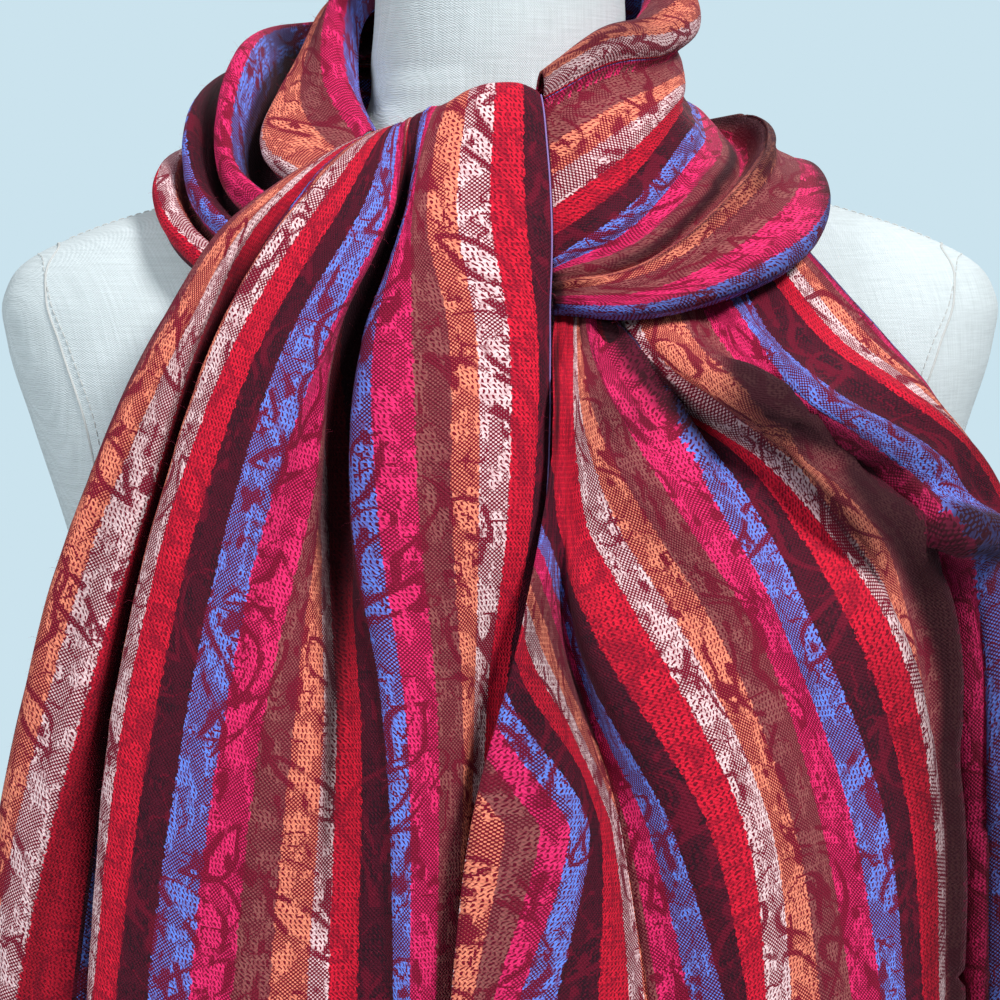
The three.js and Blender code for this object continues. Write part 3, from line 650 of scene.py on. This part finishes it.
# ---- node graphs
class Graph:
    """Small helper for a material's nodes; values may be numbers or sockets."""

    def __init__(self, name):
        self.material = bpy.data.materials.new(name)
        self.material.use_nodes = True
        self.tree = self.material.node_tree
        self.shader = self.tree.nodes["Principled BSDF"]

    def node(self, kind):
        return self.tree.nodes.new(f"ShaderNode{kind}")

    def put(self, socket, value):
        if isinstance(value, bpy.types.NodeSocket):
            self.tree.links.new(value, socket)
        else:
            socket.default_value = value

    def math(self, operation, first, second=0.0, third=0.0):
        node = self.node("Math")
        node.operation = operation
        for socket, value in zip(node.inputs, (first, second, third)):
            self.put(socket, value)
        return node.outputs[0]

    def total(self, *values):
        result = values[0]
        for value in values[1:]:
            result = self.math("ADD", result, value)
        return result

    def minus(self, first, second):
        return self.math("SUBTRACT", first, second)

    def times(self, first, second):
        return self.math("MULTIPLY", first, second)

    def least(self, first, second):
        return self.math("MINIMUM", first, second)

    def most(self, first, second):
        return self.math("MAXIMUM", first, second)

    def absolute(self, value):
        return self.math("ABSOLUTE", value)

    def cosine(self, value, period):
        return self.math("COSINE", self.scaled(value, 2 * math.pi / period))

    def scaled(self, value, factor, offset=0.0):
        return self.math("MULTIPLY_ADD", value, factor, offset)

    def step(self, value, low, high):
        """0 below low, 1 above high and smooth between; high may be the lower of the two."""
        node = self.node("MapRange")
        node.interpolation_type = "SMOOTHSTEP"
        self.put(node.inputs["Value"], value)
        self.put(node.inputs["From Min"], low)
        self.put(node.inputs["From Max"], high)
        return node.outputs["Result"]

    def mix(self, factor, first, second):
        node = self.node("Mix")
        node.data_type = "RGBA"
        for number, value in ((0, factor), (6, first), (7, second)):
            self.put(node.inputs[number], value)
        return node.outputs[2]

    def blend(self, factor, first, second):
        node = self.node("Mix")
        for number, value in ((0, factor), (2, first), (3, second)):
            self.put(node.inputs[number], value)
        return node.outputs[0]

    def vector(self, x, y, z=0.0):
        node = self.node("CombineXYZ")
        for socket, value in zip(node.inputs, (x, y, z)):
            self.put(socket, value)
        return node.outputs[0]

    def object_place(self):
        return self.node("TexCoord").outputs["Object"]

    def stretched_place(self, scale):
        node = self.node("Mapping")
        self.put(node.inputs["Vector"], self.object_place())
        node.inputs["Scale"].default_value = scale
        return node.outputs["Vector"]

    def map_values(self, name):
        """The two values of a UV map."""
        uv_node = self.node("UVMap")
        uv_node.uv_map = name
        split = self.node("SeparateXYZ")
        self.tree.links.new(uv_node.outputs["UV"], split.inputs[0])
        return split.outputs[0], split.outputs[1]

    def noise(self, place, scale, detail=2.0, roughness=0.5):
        node = self.node("TexNoise")
        self.put(node.inputs["Vector"], place)
        node.inputs["Scale"].default_value = scale
        node.inputs["Detail"].default_value = detail
        node.inputs["Roughness"].default_value = roughness
        return node.outputs["Fac"]

    def bump(self, height, strength, distance):
        node = self.node("Bump")
        node.inputs["Strength"].default_value = strength
        node.inputs["Distance"].default_value = distance
        self.put(node.inputs["Height"], height)
        self.tree.links.new(node.outputs["Normal"], self.shader.inputs["Normal"])

    def surface(self, colour, numbers):
        """The shader's colour, and its plain numbers by their sockets' names."""
        self.put(self.shader.inputs["Base Color"], colour)
        for name, value in numbers.items():
            self.shader.inputs[name].default_value = value


def linear(red, green, blue):
    """A display colour, 0 to 255, as a linear one."""
    def channel(value):
        value /= 255
        return value / 12.92 if value < 0.04045 else ((value + 0.055) / 1.055) ** 2.4
    return (channel(red), channel(green), channel(blue), 1.0)


# ---- the scarf's material
# The seven stripes in woven order: colour of the warp, of the weft between its threads, and how far
# the warp floats over the whole stripe
STRIPE_COLOURS = (
    ("black", (44, 8, 24), (98, 8, 38), 0.3),
    ("red", (220, 22, 52), (150, 4, 36), 0.75),
    ("white", (246, 212, 214), (146, 8, 44), 0.0),
    ("orange", (252, 146, 116), (154, 10, 42), 0.0),
    ("brown", (150, 82, 80), (124, 10, 44), 0.1),
    ("magenta", (242, 44, 112), (156, 2, 56), 0.0),
    ("blue", (108, 142, 244), (108, 8, 62), 0.0),
)
STRIPE_COUNT = len(STRIPE_COLOURS)
MAROON = (124, 6, 40)  # of the woven outlines and of the deepest weft
THREAD_PITCH = 1.15  # mm between neighbouring dots of warp
DOT_LENGTH = 1.45  # mm from one dot to the next along the warp
RIB_PITCH = 0.8  # mm between ribs of weft


def cell_place(graph, u, v, width, height, lean):
    """Place inside a staggered repeat of the pattern, from the middle of its cell, in mm."""
    column_number = graph.math("FLOOR", graph.scaled(u, 1 / width))
    odd = graph.math("FRACT", graph.scaled(column_number, 0.5))
    x = graph.scaled(graph.math("FRACT", graph.scaled(u, 1 / width)), width, -width / 2)
    row_place = graph.scaled(graph.total(v, graph.times(odd, height)), 1 / height)
    y = graph.scaled(graph.math("FRACT", row_place), height, -height / 2)
    x = graph.times(x, graph.scaled(odd, 4.0, -1.0))
    cosine, sine = math.cos(math.radians(lean)), math.sin(math.radians(lean))
    across = graph.total(graph.scaled(x, cosine), graph.scaled(y, sine))
    along = graph.minus(graph.scaled(y, cosine), graph.scaled(x, sine))
    return across, along


def figure(graph, across, along, length, half):
    """Signed distance, about in mm, to a figure of that length and half width; negative inside."""
    beyond = graph.most(graph.minus(graph.absolute(along), length / 2), 0.0)
    return graph.total(graph.minus(graph.absolute(across), half), beyond)


def teardrop(graph, across, along, length, width, curl):
    """A paisley drop whose tip curls over."""
    x = graph.minus(across, graph.times(graph.times(along, along), curl))
    t = graph.least(graph.most(graph.scaled(along, 2 / length), -1.0), 1.0)
    round_end = graph.math("SQRT", graph.minus(1.0, graph.times(t, t)))
    half = graph.times(graph.times(round_end, graph.scaled(t, -1, 1)), width / 2.6)
    return figure(graph, x, along, length, half)


def leaf(graph, across, along, length, width):
    """A pointed leaf."""
    t = graph.least(graph.absolute(graph.scaled(along, 2 / length)), 1.0)
    half = graph.times(graph.minus(1.0, graph.times(t, t)), width / 2)
    return figure(graph, across, along, length, half)


def stripe_ramp(graph, place, colours, alphas):
    """Steps of colour over one repeat of the stripes; place is 0 to 1 over the repeat."""
    ramp = graph.node("ValToRGB")
    ramp.color_ramp.interpolation = "CONSTANT"
    for _ in range(STRIPE_COUNT - 2):
        ramp.color_ramp.elements.new(0.5)
    for k, (colour, alpha) in enumerate(zip(colours, alphas)):
        ramp.color_ramp.elements[k].position = k / STRIPE_COUNT
        ramp.color_ramp.elements[k].color = (*linear(*colour)[:3], alpha)
    graph.tree.links.new(place, ramp.inputs["Fac"])
    return ramp.outputs


def pashmina_material():
    graph = Graph("pashmina_jacquard")
    u, v = graph.map_values("threads")
    # The stripes map's second value is the painted shade between the folds
    stripe, sky = graph.map_values("stripes")

    # The loom draws every figure in whole threads, so figures are worked out on the thread grid
    woven_u = graph.math("SNAP", u, THREAD_PITCH / 2)
    woven_v = graph.math("SNAP", v, DOT_LENGTH / 2)
    sway = graph.noise(graph.vector(woven_u, woven_v, 7.0), 0.045, 0.0)
    drawn_u = graph.total(woven_u, graph.scaled(sway, 20.0, -10.0))
    drawn_v = graph.total(woven_v, graph.scaled(sway, -16.0, 8.0))

    # Colours of each warp thread and of the weft beside it; the stripes' edges jump by whole threads
    jump = graph.noise(graph.vector(graph.scaled(woven_u, 0.15), woven_v), 0.6, 0.0)
    jump = graph.scaled(jump, 2.4 / STRIPE, -1.2 / STRIPE)
    place = graph.math("FRACT", graph.scaled(graph.total(stripe, jump), 1 / STRIPE_COUNT))
    covers = [row[3] for row in STRIPE_COLOURS]
    warp_colour, cover = stripe_ramp(graph, place, [row[1] for row in STRIPE_COLOURS], covers)
    ground_colour, _ = stripe_ramp(graph, place, [row[2] for row in STRIPE_COLOURS], covers)

    # Woven figures: large drops with a smaller one inside, sprays of leaves and thin tendrils
    drop_across, drop_along = cell_place(graph, drawn_u, drawn_v, 49.0, 96.0, 14.0)
    drop = teardrop(graph, drop_across, drop_along, 62.0, 30.0, 0.009)
    inner = teardrop(graph, drop_across, graph.scaled(drop_along, 1.0, 4.0), 30.0, 12.0, 0.009)
    leaf_across, leaf_along = cell_place(graph, graph.scaled(drawn_u, 1.0, 11.0), drawn_v, 28.0, 47.0, 38.0)
    small_leaf = leaf(graph, leaf_across, leaf_along, 27.0, 9.5)
    scroll_noise = graph.noise(graph.vector(woven_u, graph.scaled(woven_v, 0.8), 41.0), 0.085, 1.0)
    scroll = graph.absolute(graph.minus(scroll_noise, 0.5))
    outline = graph.least(graph.absolute(drop), graph.absolute(inner))
    outline = graph.least(outline, graph.absolute(small_leaf))

    # How much of the warp shows: none on the broken outlines, dots in the ground, floats in blots
    blot_place = graph.vector(graph.scaled(woven_u, 1.5), graph.scaled(woven_v, 0.62), 3.0)
    blot_noise = graph.noise(blot_place, 0.13, 2.0, 0.65)
    blots = graph.step(blot_noise, 0.50, 0.53)
    bare_place = graph.vector(graph.scaled(woven_u, 1.2), graph.scaled(woven_v, 0.5), 61.0)
    bare_noise = graph.noise(bare_place, 0.10, 2.0, 0.65)
    thin_line = graph.most(graph.step(outline, 1.3, 0.85), graph.step(scroll, 0.011, 0.008))
    thin_line = graph.times(thin_line, graph.step(bare_noise, 0.40, 0.46))
    bare = graph.most(thin_line, graph.step(bare_noise, 0.61, 0.64))
    inside = graph.step(graph.least(inner, small_leaf), -0.4, -1.2)
    floats = graph.most(graph.most(blots, inside), cover)
    shown_bare = graph.times(bare, graph.scaled(cover, -0.6, 1.0))

    lattice = graph.times(graph.cosine(u, THREAD_PITCH), graph.cosine(v, DOT_LENGTH))
    tone = graph.noise(graph.vector(u, v, 88.0), 0.4, 1.0)
    lean_u = graph.total(u, graph.scaled(v, 0.36), graph.scaled(tone, 2.2))
    dashes = graph.times(graph.cosine(lean_u, 1.1 * THREAD_PITCH), graph.cosine(v, 2.6 * DOT_LENGTH))
    dots = graph.step(lattice, 0.08, 0.3)
    dash_mask = graph.step(dashes, -0.45, -0.15)
    specks = graph.step(lattice, 0.7, 0.9)
    warp_shown = graph.blend(floats, dots, dash_mask)
    warp_shown = graph.blend(shown_bare, warp_shown, graph.scaled(specks, 0.6))

    # The weft lies in fine ribs, darker in the figures' outlines
    ribs = graph.math("SINE", graph.scaled(v, 2 * math.pi / RIB_PITCH))
    weft = graph.mix(graph.scaled(ribs, 0.2, 0.42), ground_colour, linear(58, 1, 20))
    weft = graph.mix(graph.scaled(shown_bare, 0.6), weft, linear(*MAROON))
    shaded_warp = graph.mix(0.3, warp_colour, ground_colour)
    warp = graph.mix(graph.step(tone, 0.3, 0.6), shaded_warp, warp_colour)
    colour = graph.mix(warp_shown, weft, warp)
    # Painted shade: deep between the folds hardly any light reaches the wool, so there the colour is
    # darkened towards a near-black maroon by the open sky and the troughs' shade in the stripes map
    painted_daylight = graph.scaled(graph.step(sky, 0.28, 0.8), 0.9, 0.1)
    graph.surface(graph.mix(painted_daylight, linear(26, 2, 11), colour), {
        "Roughness": 0.82,
        "Specular IOR Level": 0.2,
        "Sheen Weight": 0.08,
        "Sheen Roughness": 0.5,
        "Sheen Tint": linear(255, 170, 190),
    })
    graph.bump(graph.total(graph.scaled(lattice, 0.5), graph.scaled(dashes, 0.5)), 0.5, 0.0005)
    return graph.material


def linen_material():
    graph = Graph("linen_cover")
    split = graph.node("SeparateXYZ")
    graph.put(split.inputs[0], graph.object_place())
    x, y, z = (graph.scaled(split.outputs[k], 1 / MM) for k in range(3))
    across = graph.total(x, graph.scaled(y, 0.83))
    uneven = graph.scaled(graph.noise(graph.vector(x, y, z), 0.25, 3.0), 1.2)
    turn = 2 * math.pi
    upright = graph.math("SINE", graph.scaled(graph.total(across, uneven), turn / 0.95))
    level = graph.math("SINE", graph.scaled(graph.total(z, uneven), turn / 0.9))
    weave = graph.times(upright, level)
    level_slubs = graph.vector(graph.scaled(across, 0.06), 0.0, graph.scaled(z, 1.4))
    upright_slubs = graph.vector(graph.scaled(across, 1.4), 0.0, graph.scaled(z, 0.05))
    slubs = graph.total(*(graph.noise(place, 1.0, 3.0, 0.6) for place in (level_slubs, upright_slubs)))
    light = graph.total(graph.scaled(weave, 0.14), graph.scaled(slubs, 0.9, -0.4))
    colour = graph.mix(light, linear(184, 193, 195), linear(226, 235, 238))
    graph.surface(colour, {"Roughness": 0.9, "Specular IOR Level": 0.2, "Sheen Weight": 0.1})
    graph.bump(graph.total(graph.scaled(weave, 0.6), slubs), 0.35, 0.0005)
    return graph.material


def thread_material(name, colour):
    graph = Graph(name)
    fibres = graph.noise(graph.object_place(), 2600.0, 2.0)
    darker = tuple(0.78 * part for part in colour)
    graph.surface(graph.mix(fibres, linear(*darker), linear(*colour)), {"Roughness": 0.85})
    graph.bump(fibres, 0.4, 0.0002)
    return graph.material


def wood_material():
    graph = Graph("stained_wood_grain")
    rings = graph.noise(graph.stretched_place((1.0, 9.0, 1.6)), 9.0, 5.0, 0.6)
    pores = graph.noise(graph.stretched_place((14.0, 420.0, 14.0)), 3.0, 2.0)
    grain = graph.total(graph.scaled(rings, 1.3, -0.2), graph.scaled(pores, 0.35, -0.15))
    colour = graph.mix(grain, linear(78, 50, 32), linear(142, 100, 68))
    graph.surface(colour, {"Coat Weight": 0.25, "Coat Roughness": 0.25})
    graph.put(graph.shader.inputs["Roughness"], graph.scaled(pores, 0.25, 0.32))
    graph.bump(pores, 0.15, 0.0003)
    return graph.material


# ---- the form
def torso_ring(height, turns):
    squareness = 2 if height > ROUND_ABOVE else SQUARENESS
    cosines, sines = np.cos(turns), np.sin(turns)
    depths = np.where(sines < 0, torso_front(height)[0], torso_back(height)[0])
    x = torso_half_width(height)[0] * np.sign(cosines) * np.abs(cosines) ** (2 / squareness)
    y = depths * np.sign(sines) * np.abs(sines) ** (2 / squareness)
    return np.stack([x, y, np.full_like(x, height)], axis=1)


def make_torso(material):
    segments = 160
    turns = np.linspace(0, 2 * math.pi, segments, endpoint=False)
    heights = []
    for below, above in zip(TORSO_LEVELS, TORSO_LEVELS[1:]):
        steps = max(int((above[0] - below[0]) / 4), 6)
        heights.extend(np.linspace(below[0], above[0], steps, endpoint=False))
    heights.append(NECK_TOP)
    rings = np.array([torso_ring(height, turns) for height in heights])
    count = len(heights)
    vertices = [*map(tuple, rings.reshape(-1, 3) * MM), (0, 0, TORSO_BOTTOM * MM), (0, 0, NECK_TOP * MM)]
    faces = band_faces(count, segments)
    top = (count - 1) * segments
    for i in range(segments):
        following = (i + 1) % segments
        faces.append((count * segments, following, i))
        faces.append((count * segments + 1, top + i, top + following))
    piece = link("form_torso_linen", vertices, faces)
    piece.data.polygons.foreach_set("use_smooth", [len(face) == 4 for face in faces])
    stand_for(piece, "form_torso", material)


def turned(name, profile, material, node):
    """A solid turned round the upright axis; profile goes from its foot to its top."""
    segments = 128
    turns = [2 * math.pi * k / segments for k in range(segments)]
    vertices = [(r * math.cos(t) * MM, r * math.sin(t) * MM, z * MM) for r, z in profile for t in turns]
    foot = tuple(reversed(range(segments)))
    top = tuple(range((len(profile) - 1) * segments, len(profile) * segments))
    piece = link(name, vertices, [foot, *band_faces(len(profile), segments), top])
    stand_for(piece, node, material)


# ---- everything
pashmina = pashmina_material()
make_torso(linen_material())


def stripes_of(rows):
    return [row[0] for row in rows]


def fan_stripes():
    """Above the bust the fan's middle valley is pinched shut, so that only a dark stripe, the black one,
    shows; this is woven colour that also stands in for the valley's shade as painted shade.
    """
    stripes = np.array(stripes_of(FAN_FOLDS))
    shown = np.where((stripes > 7) & (stripes < 11), 7.0 + 0.2 * (stripes - 7), stripes)
    pinched = np.array([1.0, 1.0, 1.0, 0.8, 0.3, 0.0, 0.0, 0.0])
    return stripes[:, None] + (shown - stripes)[:, None] * pinched[None, :]


def tail_stripes():
    """Beside the fan the layers under the tail's first ones lie so close that one stripe shows."""
    stripes = np.array(stripes_of(TAIL_FOLDS))
    shown = np.maximum(stripes, 12.1 + 0.05 * stripes)
    squeezed = np.array([1.0, 1.0, 1.0, 1.0, 0.9, 0.5, 0.0, 0.0, 0.0])
    counts = stripes[:, None] + (shown - stripes)[:, None] * squeezed[None, :]
    # Above the bust the blue, black and red stripes go down into the valley beside the ridge
    counts[9] = [16.95, 16.95, 16.95, 17.4, 18, 18, 18, 18, 18]
    # and beside the deep gap the orange one is pinched against its wall
    counts[11:14, 3:] += np.array([0.3, 0.85, 0.6])[:, None]
    return counts


def right_stripes():
    """The right stretch's stripes slant over its folds, to meet the left one's at the nape."""
    front = np.array(stripes_of(RIGHT_FOLDS))
    nape = np.interp(np.arange(len(front)), np.arange(len(LEFT_FOLDS)), stripes_of(LEFT_FOLDS))
    slant = np.array([1.0, 0.55, 0.1, 0.0, 0.0, 0.0])
    counts = front[:, None] + (nape - front)[:, None] * slant[None, :]
    # Magenta reaches up to the edge of the rearmost fold, inside the loop
    counts[10, 1:4] = [11.1, 11.4, 12.4]
    return counts


left_net = loop_net(LEFT_COLUMNS, LEFT_FOLDS, LEFT_ANGLES)
right_net = loop_net(RIGHT_COLUMNS, RIGHT_FOLDS, RIGHT_ANGLES)
left_stripes = stripes_of(LEFT_FOLDS)
# For each stretch: node, net, stripes, their direction and first one, hidden folds, creases, columns
# to a fold, height of a row and reach
STRETCHES = (
    ("scarf_front_fan", fan_net(), fan_stripes(), 1, 0, HIDDEN_FAN, FAN_CREASES, 9, 3.6, 30),
    ("scarf_side_tail", tail_net(), tail_stripes(), 1, 3, (), TAIL_CREASES, 9, 3.6, 30),
    ("scarf_collar_left", left_net, left_stripes, -1, 3, HIDDEN_LEFT, LEFT_CREASES, 11, 2.4, 16),
    ("scarf_collar_back", nape_net(), left_stripes, -1, 3, HIDDEN_LEFT, BACK_CREASES, 11, 2.4, 16),
    ("scarf_collar_right", right_net, right_stripes(), -1, 3, HIDDEN_RIGHT, RIGHT_CREASES, 11, 2.4, 14),
)
sheets = {row[0].rsplit("_", 1)[1]: cloth(seed, *row) for seed, row in enumerate(STRETCHES, 1)}

# ---- threads, stitches and fuzz
def torso_point(height, turn):
    return torso_ring(height, np.array([turn]))[0]


def torso_line(heights, turns):
    """Points on the torso and the directions straight out of it there."""
    points = np.array([torso_point(height, turn) for height, turn in zip(heights, turns)])
    outward = []
    for height, turn in zip(heights, turns):
        up = torso_point(height + 0.5, turn) - torso_point(height - 0.5, turn)
        around = torso_point(height, turn + 0.02) - torso_point(height, turn - 0.02)
        normal = np.cross(around, up)
        outward.append(normal / np.linalg.norm(normal))
    return points, np.array(outward)


def along_line(points, outward, pitch):
    """Places a pitch apart on a line, with the outward directions there."""
    steps = np.linalg.norm(np.diff(points, axis=0), axis=1)
    walked = np.concatenate([[0], np.cumsum(steps)])
    places = np.arange(0, walked[-1], pitch)
    return tuple(
        np.array([np.interp(places, walked, line) for line in grid.T]).T for grid in (points, outward)
    )


def thread_tube(path, outward, radius, first, sides=6):
    """Vertices and faces of a closed thread along a path; first is the number of its first vertex."""
    ahead = np.gradient(path, axis=0)
    ahead /= np.linalg.norm(ahead, axis=1, keepdims=True)
    side = np.cross(ahead, outward)
    side /= np.linalg.norm(side, axis=1, keepdims=True)
    up = np.cross(side, ahead)
    turns = np.linspace(0, 2 * math.pi, sides, endpoint=False)[None, :, None]
    rings = path[:, None] + radius * (np.cos(turns) * up[:, None] + np.sin(turns) * side[:, None])
    start = tuple(first + i for i in reversed(range(sides)))
    end = tuple(first + (len(path) - 1) * sides + i for i in range(sides))
    return rings.reshape(-1, 3) * MM, [start, *band_faces(len(path), sides, first), end]


def thread_piece(name, paths, radius, material):
    """One piece of all the threads whose paths are given, each a pair of points and directions."""
    vertices, faces = [], []
    for path, outward in paths:
        points, more = thread_tube(path, outward, radius, len(vertices))
        vertices.extend(points.tolist())
        faces.extend(more)
    return loose_piece(name, vertices, faces, material)


def stitch_paths(points, outward, pitch=STITCH_PITCH, length=STITCH_LENGTH):
    """Short threads that rise from the cloth and dip back into it."""
    starts, normals = along_line(points, outward, pitch)
    ends = np.roll(starts, -1, axis=0)
    share = length / pitch
    profile = ((0.0, 0.1), (0.3, 1.1), (0.7, 1.1), (1.0, 0.1))
    paths = []
    for start, end, normal in list(zip(starts, ends, normals))[:-1]:
        line = [start + (end - start) * share * t + normal * STITCH_RADIUS * rise for t, rise in profile]
        paths.append((np.array(line), np.tile(normal, (len(profile), 1))))
    return paths


def fuzz(name, points, normals, count, seed, material):
    """Fine fibres that stand out of the cloth, each a ribbon that narrows to its tip."""
    random = np.random.default_rng(seed)
    rows = random.integers(1, points.shape[0] - 1, count)
    columns = random.integers(1, points.shape[1] - 1, count)
    foot, normal = points[rows, columns], normals[rows, columns]
    foot = foot + (points[rows + 1, columns] - foot) * random.random((count, 1))
    lean = normal * random.uniform(0.3, 1.0, (count, 1)) + random.normal(0, 0.5, (count, 3))
    lean /= np.linalg.norm(lean, axis=1, keepdims=True)
    length = random.gamma(2.0, 0.75, (count, 1)) + 0.6
    droop = np.array([0, 0, -0.25]) * length
    wide = np.cross(lean, random.normal(0, 1, (count, 3)))
    wide *= FIBRE_WIDTH / 2 / np.linalg.norm(wide, axis=1, keepdims=True)
    middle, tip = foot + normal * 0.4 + lean * length * 0.55, foot + normal * 0.4 + lean * length + droop
    corners = np.stack([foot - wide, foot + wide, middle - wide * 0.8, middle + wide * 0.8, tip], axis=1)
    first = np.arange(count) * 5
    quads = np.stack([first, first + 1, first + 3, first + 2], axis=1).tolist()
    tips = np.stack([first + 2, first + 3, first + 4], axis=1).tolist()
    return loose_piece(name, (corners.reshape(-1, 3) * MM).tolist(), quads + tips, material)


def torso_seam(name, heights, turns):
    """A thread laid along a seam of the torso."""
    points, outward = torso_line(heights, turns)
    thread_piece(name, [(points + outward * CORD_LIFT, outward)], CORD_RADIUS, linen_thread)


linen_thread = thread_material("linen_thread", (214, 216, 214))
for side, middle_turn in (("left", math.pi), ("right", 0.0)):
    # The seam of the shoulder cap runs round the armhole, over the shoulder's edge
    t = np.linspace(0, 2 * math.pi, 160)
    swing = math.radians(CAP_SWING) * np.sign(np.sin(t)) * np.abs(np.sin(t)) ** 0.5
    torso_seam(f"cap_seam_{side}", CAP_HEIGHT + CAP_REACH * np.cos(t), middle_turn + swing)
    inner_heights = CAP_HEIGHT + (CAP_REACH - 4) * np.cos(t)
    stitches = stitch_paths(*torso_line(inner_heights, middle_turn + swing * 1.07))
    heights = np.linspace(730, 766, 60)
    for offset in (-0.09, 0.09):
        stitches += stitch_paths(*torso_line(heights, np.full(60, middle_turn + offset)))
    thread_piece(f"shoulder_stitches_{side}", stitches, STITCH_RADIUS, linen_thread)

lavender = thread_material("selvedge_thread", (158, 128, 196))
crimson = thread_material("hem_thread", (150, 18, 52))
fibre = thread_material("fibre", (196, 62, 92))
fittings = {name: [] for name in sheets}
_, fan_points, fan_normals = sheets["fan"]
edge, edge_out = (grid[12:-1, SELVEDGE_COLUMN] for grid in (fan_points, fan_normals))
edge = edge + edge_out * (THICKNESS / 2 + 0.25)
fittings["fan"].append(thread_piece("selvedge_thread", [(edge, edge_out)], SELVEDGE_RADIUS, lavender))
for name in ("fan", "tail"):
    _, points, normals = sheets[name]
    hem = points[-4] + normals[-4] * (THICKNESS / 2)
    stitches = stitch_paths(hem, normals[-4], 4.0, 2.6)
    fittings[name].append(thread_piece(f"{name}_hem_stitches", stitches, STITCH_RADIUS, crimson))
for seed, (name, count) in enumerate(FIBRE_COUNTS.items()):
    _, points, normals = sheets[name]
    fittings[name].append(fuzz(f"{name}_fuzz", points, normals, count, seed, fibre))

# A flat felled seam closes the linen down the middle of the back
heights = np.linspace(TORSO_BOTTOM + 4, SEAM_TOP, 260)
stitches = []
for offset in (-SEAM_HALF_WIDTH, SEAM_HALF_WIDTH):
    stitches += stitch_paths(*torso_line(heights, math.pi / 2 + offset / torso_half_width(heights)))
thread_piece("back_seam_stitches", stitches, STITCH_RADIUS, linen_thread)
torso_seam("back_seam", heights, np.full(260, math.pi / 2))

wood = wood_material()
POLE_BOTTOM = BASE_HEIGHT + SEAM_GAP
POLE_TOP = TORSO_BOTTOM - SEAM_GAP
POLE_PROFILE = (
    (COLLAR_RADIUS, POLE_BOTTOM),
    (COLLAR_RADIUS, POLE_BOTTOM + 12),
    (POLE_RADIUS, POLE_BOTTOM + 18),
    (POLE_RADIUS, POLE_TOP - 8),
    (COLLAR_RADIUS, POLE_TOP - 6),
    (COLLAR_RADIUS, POLE_TOP),
)
BASE_PROFILE = (
    (BASE_RADIUS - 2, 0),
    (BASE_RADIUS, 2),
    (BASE_RADIUS, 12),
    (BASE_RADIUS - 6, 17),
    (60, BASE_HEIGHT),
)
turned("form_pole_wood", POLE_PROFILE, wood, "form_pole")
turned("form_base_wood", BASE_PROFILE, wood, "form_base")


# ---- floor, light and camera
def plain_material(name, colour, roughness):
    graph = Graph(name)
    mottle = graph.noise(graph.object_place(), 1.5, 2.0)
    lighter = tuple(min(255, part + 4) for part in colour)
    graph.surface(graph.mix(mottle, linear(*colour), linear(*lighter)), {"Roughness": roughness})
    return graph.material


floor_turns = [k / 96 * 2 * math.pi for k in range(96)]
floor_rim = [(FLOOR_RADIUS * math.cos(t), FLOOR_RADIUS * math.sin(t), 0) for t in floor_turns]
floor = link("floor", floor_rim, [tuple(range(len(floor_rim)))])
floor.data.materials.append(plain_material("pale_floor", (214, 226, 232), 0.8))


def area_light(name, place, target, size, power, colour):
    """A round lamp that faces its target."""
    light = bpy.data.lights.new(name, "AREA")
    light.shape = "DISK"
    light.size = size
    light.energy = power
    light.color = colour
    lamp = bpy.data.objects.new(name, light)
    bpy.context.scene.collection.objects.link(lamp)
    lamp.location = place
    lamp.rotation_euler = (Vector(target) - Vector(place)).to_track_quat("-Z", "Y").to_euler()


CHEST = (0, -0.08, 0.62)
area_light("key_light", (1.1, -1.3, 2.2), CHEST, 0.5, 60, (1.0, 0.99, 0.98))
area_light("fill_light", (-1.5, -1.4, 1.6), CHEST, 1.0, 26, (0.95, 0.98, 1.0))
area_light("back_light", (0.6, 1.8, 1.7), CHEST, 1.2, 16, (1.0, 1.0, 1.0))

# The camera sees a bright studio; the light that it sheds is softer, so that the folds keep depth
world = bpy.data.worlds.new("pale_studio")
world.use_nodes = True
world_nodes = world.node_tree.nodes
background = world_nodes["Background"]
background.inputs["Color"].default_value = linear(203, 227, 238)
ray = world_nodes.new("ShaderNodeLightPath")
strength = world_nodes.new("ShaderNodeMapRange")
strength.inputs["To Min"].default_value = 0.24
strength.inputs["To Max"].default_value = 1.0
world.node_tree.links.new(ray.outputs["Is Camera Ray"], strength.inputs["Value"])
world.node_tree.links.new(strength.outputs["Result"], background.inputs["Strength"])
bpy.context.scene.world = world
bpy.context.scene.view_settings.view_transform = "Standard"

camera_data = bpy.data.cameras.new("camera")
camera_data.sensor_width = 36
camera_data.lens = camera_data.sensor_width / 2 / VIEW_SLOPE
camera = bpy.data.objects.new("camera", camera_data)
camera.location = (0, -1.0, CAMERA_HEIGHT)
camera.rotation_euler = (math.radians(90 - CAMERA_PITCH), 0, 0)
bpy.context.scene.collection.objects.link(camera)
bpy.context.scene.camera = camera

bpy.context.view_layer.update()
